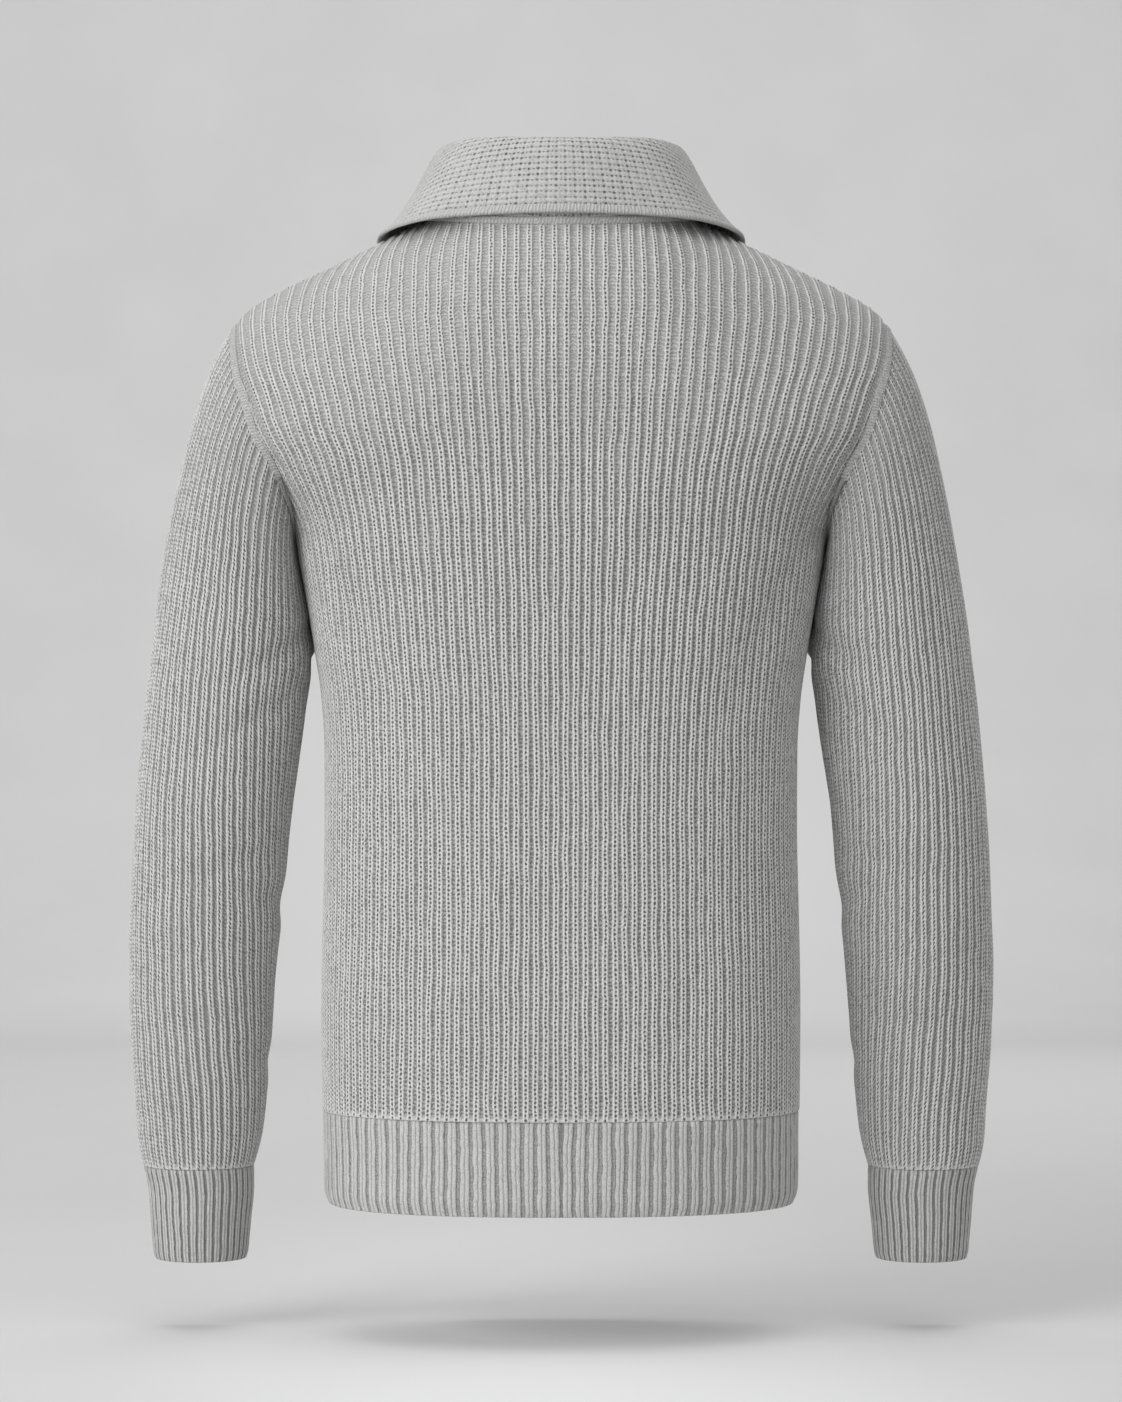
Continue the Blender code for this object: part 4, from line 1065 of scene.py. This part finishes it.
def body_material(name):
    """Rib knit: on each ridge two strands with a row of holes between, and purl loops in the furrows."""
    graph, ribs, courses, pitch, edge, uneven, fleck = knit_graph(name, 2.4)
    ribs = ribs + (graph.noise(4.5, 2.0, 0.5, 3.0) - 0.5) * 0.15
    courses = courses + (graph.noise(8.0, 2.0, 0.5, 4.0) - 0.5) * 1.0
    from_ridge = (ribs.fract() - 0.5) * pitch
    sideways = from_ridge + (graph.noise(2.9, 1.0, 0.5, 7.0) - 0.5) * 1.3
    off = from_ridge.abs()
    along = (courses.fract() - 0.5) * COURSE
    wave = (courses * TURN).cosine()
    hole = (sideways / 0.85).bell(1.0) * (along / 0.95).bell(1.0)
    hole = (hole * (uneven * 2.5 + 0.05)).step(0.28, 0.95)
    groove = sideways.bell(0.5)
    furrow = (off + wave * 0.22 + (uneven - 0.5) * 1.5).step(1.7, 2.4) * (1.0 - edge * 0.8)
    from_furrow = pitch * 0.5 - off
    arc = (courses + from_furrow * from_furrow * 0.06 + (uneven - 0.5) * 2.2).wave().step(0.1, 0.9)
    height = (1.0 - furrow) * (0.45 - groove * 0.25 - wave * 0.05) - hole * 0.6 + furrow * arc * 0.3
    wide = pitch.step(6.9, 8.4)
    ditch = (off - 2.15).bell(0.35) * wide * (uneven * 2.0 - 0.3).clamp()
    # Painted shade: the groove between a ridge's two strands, the furrows, a thin line at the ridges' feet
    # and the holes are painted darker where the knit's recesses fall into shade. The purl loops in the
    # furrows are painted less dark, the furrows' shade is lighter where the ribs are wide, and there the
    # whole knit is dimmed a little. The flecks are the wool's own uneven tone.
    colour = graph.mix(groove * 0.45, STRAND_GREY, shade(STRAND_GREY, 0.5))
    for part, tone in ((wide * 0.12, PAINTED_SHADE_GREY), (furrow, PAINTED_SHADE_GREY),
                       (furrow * wide * 0.7, shade(STRAND_GREY, 0.56)), (ditch * 0.6, PAINTED_SHADE_GREY),
                       (furrow * arc * 0.7, shade(STRAND_GREY, 0.8)),
                       ((0.47 - uneven) * 2.2 + (0.48 - fleck) * 1.6, shade(STRAND_GREY, 0.45)),
                       (hole, HOLE_PAINTED_SHADE_GREY)):
        colour = graph.mix(part, colour, tone)
    return wool(graph, colour, height + (uneven - 0.5) * 0.6, 1.1)


def band_material(name):
    """Tight rib knit: on each ridge two strands side by side, and fine purl bumps in the furrows."""
    graph, ribs, courses, pitch, edge, uneven, fleck = knit_graph(name, 2.0)
    long_drift = graph.noise(7.0, 2.0, 0.6, 3.0)
    from_ridge = ((ribs + (long_drift - 0.5) * 0.22).fract() - 0.5) * pitch
    off = from_ridge.abs() + (uneven - 0.5) * 0.9
    share = off / pitch
    bumps = (courses * 1.3 + off * 0.12 + (uneven - 0.5) * 3.2).wave()
    groove = (from_ridge + (uneven - 0.5) * 0.5).bell(0.42)
    unclosed = 1.0 - edge * 0.6
    ditch = (share - 0.37).bell(0.05) * (long_drift * 1.6 + 0.1).clamp() * unclosed
    furrow = share.step(BAND_RIDGE - 0.03, BAND_RIDGE + 0.04) * unclosed
    height = (1.0 - furrow) * (0.4 - groove * 0.35) - ditch * 0.4
    height = height + furrow * bumps * 0.3 + (uneven - 0.5) * 0.5
    narrow = 1.0 - pitch.step(6.0, 7.4)
    # Painted shade: the groove between a ridge's strands, the furrows, a thin line beside the ridges and the
    # narrow furrows are painted darker where the band's recesses fall into shade. The purl bumps in the
    # furrows are painted less dark. The flecks are the wool's own uneven tone.
    colour = graph.mix(groove * 0.8, shade(STRAND_GREY, 0.86), shade(STRAND_GREY, 0.43))
    for part, tone in ((furrow, shade(STRAND_GREY, 0.5)), (furrow * bumps * 0.7, shade(STRAND_GREY, 0.8)),
                       (ditch * 0.65, PAINTED_SHADE_GREY), (furrow * narrow * 0.7, PAINTED_SHADE_GREY),
                       ((0.5 - uneven) * 2.2 + (0.48 - fleck) * 1.8, shade(STRAND_GREY, 0.45))):
        colour = graph.mix(part, colour, tone)
    return wool(graph, colour, height, 1.1)


def collar_material(name):
    """Waffle knit with holes between its stitches, and a smooth knitted edge of fine upright stitches."""
    graph, wales, courses, pitch, welt, uneven, fleck = knit_graph(name, 2.2)
    wales = wales + (graph.noise(4.0, 2.0, 0.5, 3.0) - 0.5) * 0.24
    courses = courses + (graph.noise(4.5, 2.0, 0.5, 4.0) - 0.5) * 0.45 - WELT / COLLAR_COURSE
    across = ((wales + 0.5).fract() - 0.5) * pitch
    along = ((courses + 0.5).fract() - 0.5) * COLLAR_COURSE
    between = (wales.fract() - 0.5) * pitch
    plain = 1.0 - welt
    open_up = (graph.noise(11.0, 1.0, 0.5, 6.0).step(0.3, 0.65) * 0.55 + 0.5) * plain
    hole = (across.bell(1.0) * along.bell(0.95) * (uneven * 1.8 + 0.3)).step(0.28, 0.85) * open_up
    small = (between.bell(0.85) * along.bell(0.85) * (uneven * 2.0 + 0.1)).step(0.35, 0.9) * open_up
    lines = (across.bell(0.6) * 0.16 + along.bell(0.7) * 0.2) * plain
    upright = ((wales * 3.0 + courses * 0.2 + (uneven - 0.5) * 1.6) * TURN).cosine() * 0.5 + 0.5
    height = plain * 0.5 - lines * 0.5 - hole * 0.7 - small * 0.45
    height = height + upright * welt * 0.35 + (uneven - 0.5) * 0.8
    # Painted shade: the lines between stitches, the large and small holes and the gaps between the welt's
    # upright stitches are painted darker where shade falls in them. The flecks are the wool's own uneven
    # tone.
    colour = graph.mix(lines, shade(STRAND_GREY, 0.78), shade(PAINTED_SHADE_GREY, 1.4))
    flecks = ((0.52 - uneven) * 2.4 + (0.5 - fleck) * 1.8).clamp() * plain
    for part, tone in ((flecks, shade(STRAND_GREY, 0.42)), (small * 0.85, PAINTED_SHADE_GREY),
                       (hole * 0.9, HOLE_PAINTED_SHADE_GREY), ((1.0 - upright) * welt * 0.35, PAINTED_SHADE_GREY)):
        colour = graph.mix(part, colour, tone)
    return wool(graph, colour, height)


def seam_material(name, tone):
    """Fine plain knit of a linking seam, with small stitches along it."""
    graph = Graph(name)
    across, along = graph.knit()
    uneven = graph.noise(2.0, 3.0, 0.7, 3.0)
    stitch = ((along + across * 0.8 + (uneven - 0.5) * 2.4) * TURN).cosine() * 0.5 + 0.5
    side = ((across - 0.5).abs() + (uneven - 0.5) * 0.12).step(0.4, 0.5)
    # Painted shade: the gaps between the stitches are painted darker, and the seam's two edges, where it
    # meets the knit, are painted shade.
    colour = graph.mix(stitch, shade(STRAND_GREY, 0.62 * tone), shade(STRAND_GREY, tone))
    return wool(graph, graph.mix(side * 0.6, colour, PAINTED_SHADE_GREY), stitch * 0.3)


def metal_material(name):
    graph = Graph(name)
    wear = graph.noise(3.0, 2.0, 0.5, 2.0)
    colour = graph.mix(wear.step(0.35, 0.75), (0.46, 0.46, 0.47), (0.62, 0.62, 0.63))
    return graph.finish(colour, graph.noise(0.35, 3.0, 0.6, 1.0) * 0.03, wear * 0.2 + 0.22, sheen=0.0,
                        metallic=1.0)


def tape_material(name):
    """Woven zip tape: a fine herringbone."""
    graph = Graph(name)
    x, _, z = graph.split(graph.place())
    thread = ((x * 1400.0).abs() * 0.5 + z * 700.0).wave()
    colour = graph.mix(thread, (0.20, 0.20, 0.20), (0.34, 0.34, 0.335))
    return wool(graph, colour, thread * 0.12, relief=0.1, roughness=0.85, sheen=0.1)


def assign(made, material):
    made.data.materials.clear()
    made.data.materials.append(material)
    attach(made, "garment")
    return made


def cuff_rings(table, heights):
    return tube(table, heights, TURN * (rib_columns(CUFF_RIBS) - 0.5) / CUFF_RIBS)


# Knitted pieces
BODY_KNIT = body_material("body knit")
BAND_KNIT = band_material("rib band knit")
COLLAR_KNIT = collar_material("collar knit")
# The neck seam's copy is painted lighter (0.9 against 0.8) to offset the shade that the collar's leaf casts
# on it.
SEAM_KNIT = seam_material("seam knit", 0.8)
NECK_SEAM_KNIT = seam_material("neck seam knit", 0.9)

back = assign(panel("back_knit", BACK), BODY_KNIT)
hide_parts("back_panel")
front = assign(panel("front_knit", FRONT), BODY_KNIT)
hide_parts("front_panel")
for side, mirror in (("left", False), ("right", True)):
    made = assign(sleeve(side + "_sleeve_knit", mirror), BODY_KNIT)
    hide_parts("sleeve_" + side)
    made = band(side + "_cuff_knit", cuff_rings, CUFF, CUFF_RIBS, CUFF_TOP, CUFF_BOTTOM, CUFF_CURL,
                61 if mirror else 71, not mirror, mirror)
    assign(made, BAND_KNIT)
    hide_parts("cuff_" + side)
hem = band("hem_knit", hem_rings(rib_columns(HEM_RIBS)), HEM, HEM_RIBS, HEM_TOP, HEM_BOTTOM, HEM_CURL, 81,
           False)
assign(hem, BAND_KNIT)
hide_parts("hem_band")
turned_collar = assign(collar("collar_waffle_knit"), COLLAR_KNIT)
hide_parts("collar")

# Linking seams
SEAM_WIDTH = 6.2
SEAM_RISE = 0.1
SEAM_SAMPLES = 9
SEAM_STITCH = 2.2
SEAM_ON_BODY = 1.2  # width of the seam that lies on the body
SEAM_LIFT = 0.25
NECK_SEAM = (6.0, 0.4, 7, 2.4)  # width, rise, samples across and pitch
for side, sign in (("left", 1), ("right", -1)):
    shares = np.linspace(-1, 1, 401)[:-1]
    loop, out = armhole_loop(shares)
    along = unit(np.roll(loop, -1, axis=0) - np.roll(loop, 1, axis=0))
    leaving = sleeve_ways(shares)
    on_sleeve = unit(leaving - along * (leaving * along).sum(axis=1)[:, None])
    on_body = unit(np.cross(out, along))
    on_body = on_body * np.sign((on_body * on_sleeve).sum(axis=1))[:, None]
    onto = unit(0.35 * on_body + 0.65 * on_sleeve)
    up = unit(np.cross(along, onto))
    up = up * np.sign((up * out).sum(axis=1))[:, None]
    path = loop + on_sleeve * (SEAM_WIDTH / 2 - SEAM_ON_BODY) + up * SEAM_LIFT
    if sign < 0:
        path, onto, up = path * (-1, 1, 1), onto * (-1, 1, 1), up * (-1, 1, 1)
    made = ribbon(side + "_armhole_seam", path, onto, up, SEAM_WIDTH, SEAM_RISE, SEAM_SAMPLES,
                  SEAM_STITCH, True)
    assign(made, SEAM_KNIT)
shares = np.linspace(-0.985, 0.985, 480)
neck = neck_points(shares)
outwards = -neck_inwards(shares)
up = np.zeros_like(neck) + (0, 0, 1.0)
made = ribbon("neck_seam", neck + up * 2.0 + outwards * 0.1, up, outwards, *NECK_SEAM)
assign(made, NECK_SEAM_KNIT)

# Zip teeth, clamped on the edges of the two tapes
TAPE_REACH = 4.6
TAPE_MIDDLE = 0.95  # from the cloth's face to the middle of the tape
TOOTH_PITCH = 2.6
TOOTH = (2.5, 1.15, 2.2)  # across the edge, along it, through the tape
TOOTH_BEYOND = 0.55
TOOTH_BEVEL = 0.22
SLIDER_SPAN = (-164.5, -146.5)
ZIP_BOTTOM = -217.0
ZIP_TURN = -80.0  # height at which the zip leaves the front for the collar


def zip_edge():
    """Middle line of the left tape's edge, with directions across it to the centre and out of it."""
    heights = np.linspace(ZIP_BOTTOM, ZIP_TURN, 60)
    start = smooth(SLIT, 1, heights)
    edge, beside = FRONT.point(start, heights), FRONT.point(start + 6, heights)
    across = unit(edge - beside)
    out = unit(np.cross(np.gradient(edge, axis=0), across))
    out = out * np.sign(-out[:, 1:2])
    low = edge + across * TAPE_REACH - out * (WALL + TAPE_MIDDLE)
    rows = np.linspace(0.06, 1.94, 90)
    edge = collar_points(np.array([1.0]), rows)[:, 0]
    beside = collar_points(np.array([0.96]), rows)[:, 0]
    turned_across = unit(edge - beside)
    facing = unit(np.cross(np.gradient(edge, axis=0), turned_across))
    facing = facing * np.sign(facing[-1, 2] - facing[-1, 1])
    high = edge + turned_across * TAPE_REACH + facing * TAPE_MIDDLE
    return np.concatenate([low, high]), np.concatenate([across, turned_across])


def teeth(name, mirror):
    path, across = zip_edge()
    run = line_run(path)
    places = np.arange(0.0 if mirror else 0.5, run[-1] / TOOTH_PITCH) * TOOTH_PITCH
    tooth = bmesh.new()
    bmesh.ops.create_cube(tooth, size=1.0)
    bmesh.ops.scale(tooth, vec=TOOTH, verts=tooth.verts)
    bmesh.ops.bevel(tooth, geom=tooth.edges[:], offset=TOOTH_BEVEL, segments=2, affect="EDGES", profile=0.5)
    corners = np.array([vertex.co for vertex in tooth.verts])
    sides = [[vertex.index for vertex in face.verts] for face in tooth.faces]
    tooth.free()

    def at(place, values):
        return np.array([np.interp(place, run, values[:, axis]) for axis in range(3)])

    points, faces = [], []
    for place in places:
        here = at(place, path)
        if SLIDER_SPAN[0] < here[2] < SLIDER_SPAN[1] and here[0] < 5:
            continue
        onward = unit(at(place + 1, path) - at(place - 1, path))
        to_centre = at(place, across)
        to_centre = unit(to_centre - onward * (to_centre @ onward))
        away = np.cross(to_centre, onward)
        middle = here + to_centre * (TOOTH_BEYOND - TOOTH[0] / 2 + 0.35)
        placed = middle + corners[:, :1] * to_centre + corners[:, 1:2] * onward + corners[:, 2:] * away
        faces += [[corner + len(points) * len(corners) for corner in side] for side in sides]
        points.append(placed * (-1 if mirror else 1, 1, 1))
    mesh = bpy.data.meshes.new(name)
    mesh.from_pydata((np.concatenate(points) * MM).tolist(), [], faces)
    turning = bmesh.new()
    turning.from_mesh(mesh)
    bmesh.ops.recalc_face_normals(turning, faces=turning.faces)
    turning.to_mesh(mesh)
    turning.free()
    mesh.shade_smooth()
    return add_object(name, mesh)


METAL = metal_material("zip metal")
for side, mirror in (("left", False), ("right", True)):
    assign(teeth(side + "_zip_teeth", mirror), METAL)

# CAD pieces that stay as they are get finished materials
TAPE = tape_material("zip tape weave")
for node_name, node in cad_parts.items():
    if node_name.startswith("zip_"):
        for slot in node.material_slots:
            slot.material = TAPE if node_name.startswith("zip_tape") else METAL

# Stage, lights and camera
FLOOR_HEIGHT = -0.770
CAMERA_DISTANCE = 3.0
CAMERA_HEIGHT = -0.3407
LENS = 113.3
FLOOR_END = -2.6
WALL_BEND = 1.8
BEND_STEPS = 24
FLOOR_START = 3.4
WALL_TOP = 4.0
HALF_STAGE = 5.0


def stage():
    profile = [(FLOOR_START, FLOOR_HEIGHT), (FLOOR_END, FLOOR_HEIGHT)]
    for angle in np.linspace(0, math.pi / 2, BEND_STEPS + 1)[1:]:
        profile.append((FLOOR_END - WALL_BEND * math.sin(angle),
                        FLOOR_HEIGHT + WALL_BEND * (1 - math.cos(angle))))
    profile.append((FLOOR_END - WALL_BEND, WALL_TOP))
    mesh = bpy.data.meshes.new("backdrop")
    vertices = [(x, y, z) for y, z in profile for x in (-HALF_STAGE, HALF_STAGE)]
    faces = [(2 * i, 2 * i + 1, 2 * i + 3, 2 * i + 2) for i in range(len(profile) - 1)]
    mesh.from_pydata(vertices, [], faces)
    mesh.shade_smooth()
    made = add_object("backdrop", mesh)
    graph = Graph("backdrop paper")
    tone = graph.noise(160.0, 3.0, 0.5, 1.0)
    grain = graph.noise(2.0, 2.0, 0.5, 2.0)
    x, y, z = graph.split(graph.place())
    low = 1.0 - z.step(-0.6, 0.2)
    # Painted light: a lighter patch on the floor under the garment that lifts its shadow.
    near = x.bell(0.28) * (y - 0.2).bell(0.6) * low
    # Painted light: a lighter patch low on the wall behind the garment.
    wall_painted_light = x.bell(0.6) * (y + 3.3).bell(0.7)
    colour = graph.mix(tone.step(0.25, 0.75), (0.585, 0.585, 0.585), (0.61, 0.61, 0.61))
    colour = graph.mix(wall_painted_light, colour, (0.69, 0.69, 0.69))
    # Painted shade: the floor darker behind the garment and towards -X, where the key light's shadow falls.
    floor_painted_shade = (y + 2.95).step(0.0, 0.5) * (1.0 - (y + 0.9).step(0.0, 0.9) * 0.6) * (0.75 - x * 0.25).clamp()
    colour = graph.mix(floor_painted_shade, colour, (0.5, 0.5, 0.5))
    colour = graph.mix(near, colour, (0.85, 0.85, 0.85))
    mesh.materials.append(graph.finish(colour, grain * 0.05, 0.9, sheen=0.0))


def area_light(name, place, target, size, power):
    light = bpy.data.lights.new(name, "AREA")
    light.shape = "RECTANGLE"
    light.size, light.size_y = size
    light.energy = power
    made = add_object(name, light)
    made.location = place
    made.rotation_euler = (Vector(target) - Vector(place)).to_track_quat("-Z", "Y").to_euler()


stage()
MIDDLE = (0.0, 0.0, -0.35)
area_light("key", (2.5, 2.3, 0.9), MIDDLE, (2.5, 2.5), 84.0)
area_light("front", (-0.2, 3.8, -0.3), MIDDLE, (2.2, 2.0), 5.0)
area_light("top", (0.0, 0.7, 1.9), (0.0, 0.1, -0.8), (1.8, 1.6), 18.0)
area_light("wash", (0.0, -1.6, 3.0), (0.0, -4.4, 0.15), (4.0, 1.5), 58.0)
area_light("far side", (-0.7, -2.3, 0.6), MIDDLE, (2.0, 1.6), 9.0)
world = bpy.data.worlds.new("studio")
world.use_nodes = True
world.node_tree.nodes["Background"].inputs["Color"].default_value = (1.0, 1.0, 1.0, 1.0)
world.node_tree.nodes["Background"].inputs["Strength"].default_value = 0.5
bpy.context.scene.world = world

camera = add_object("camera", bpy.data.cameras.new("camera"))
camera.data.lens = LENS
camera.location = (0.0, CAMERA_DISTANCE, CAMERA_HEIGHT)
camera.rotation_euler = (math.pi / 2, 0.0, math.pi)
bpy.context.scene.camera = camera
bpy.context.scene.view_settings.view_transform = "Standard"
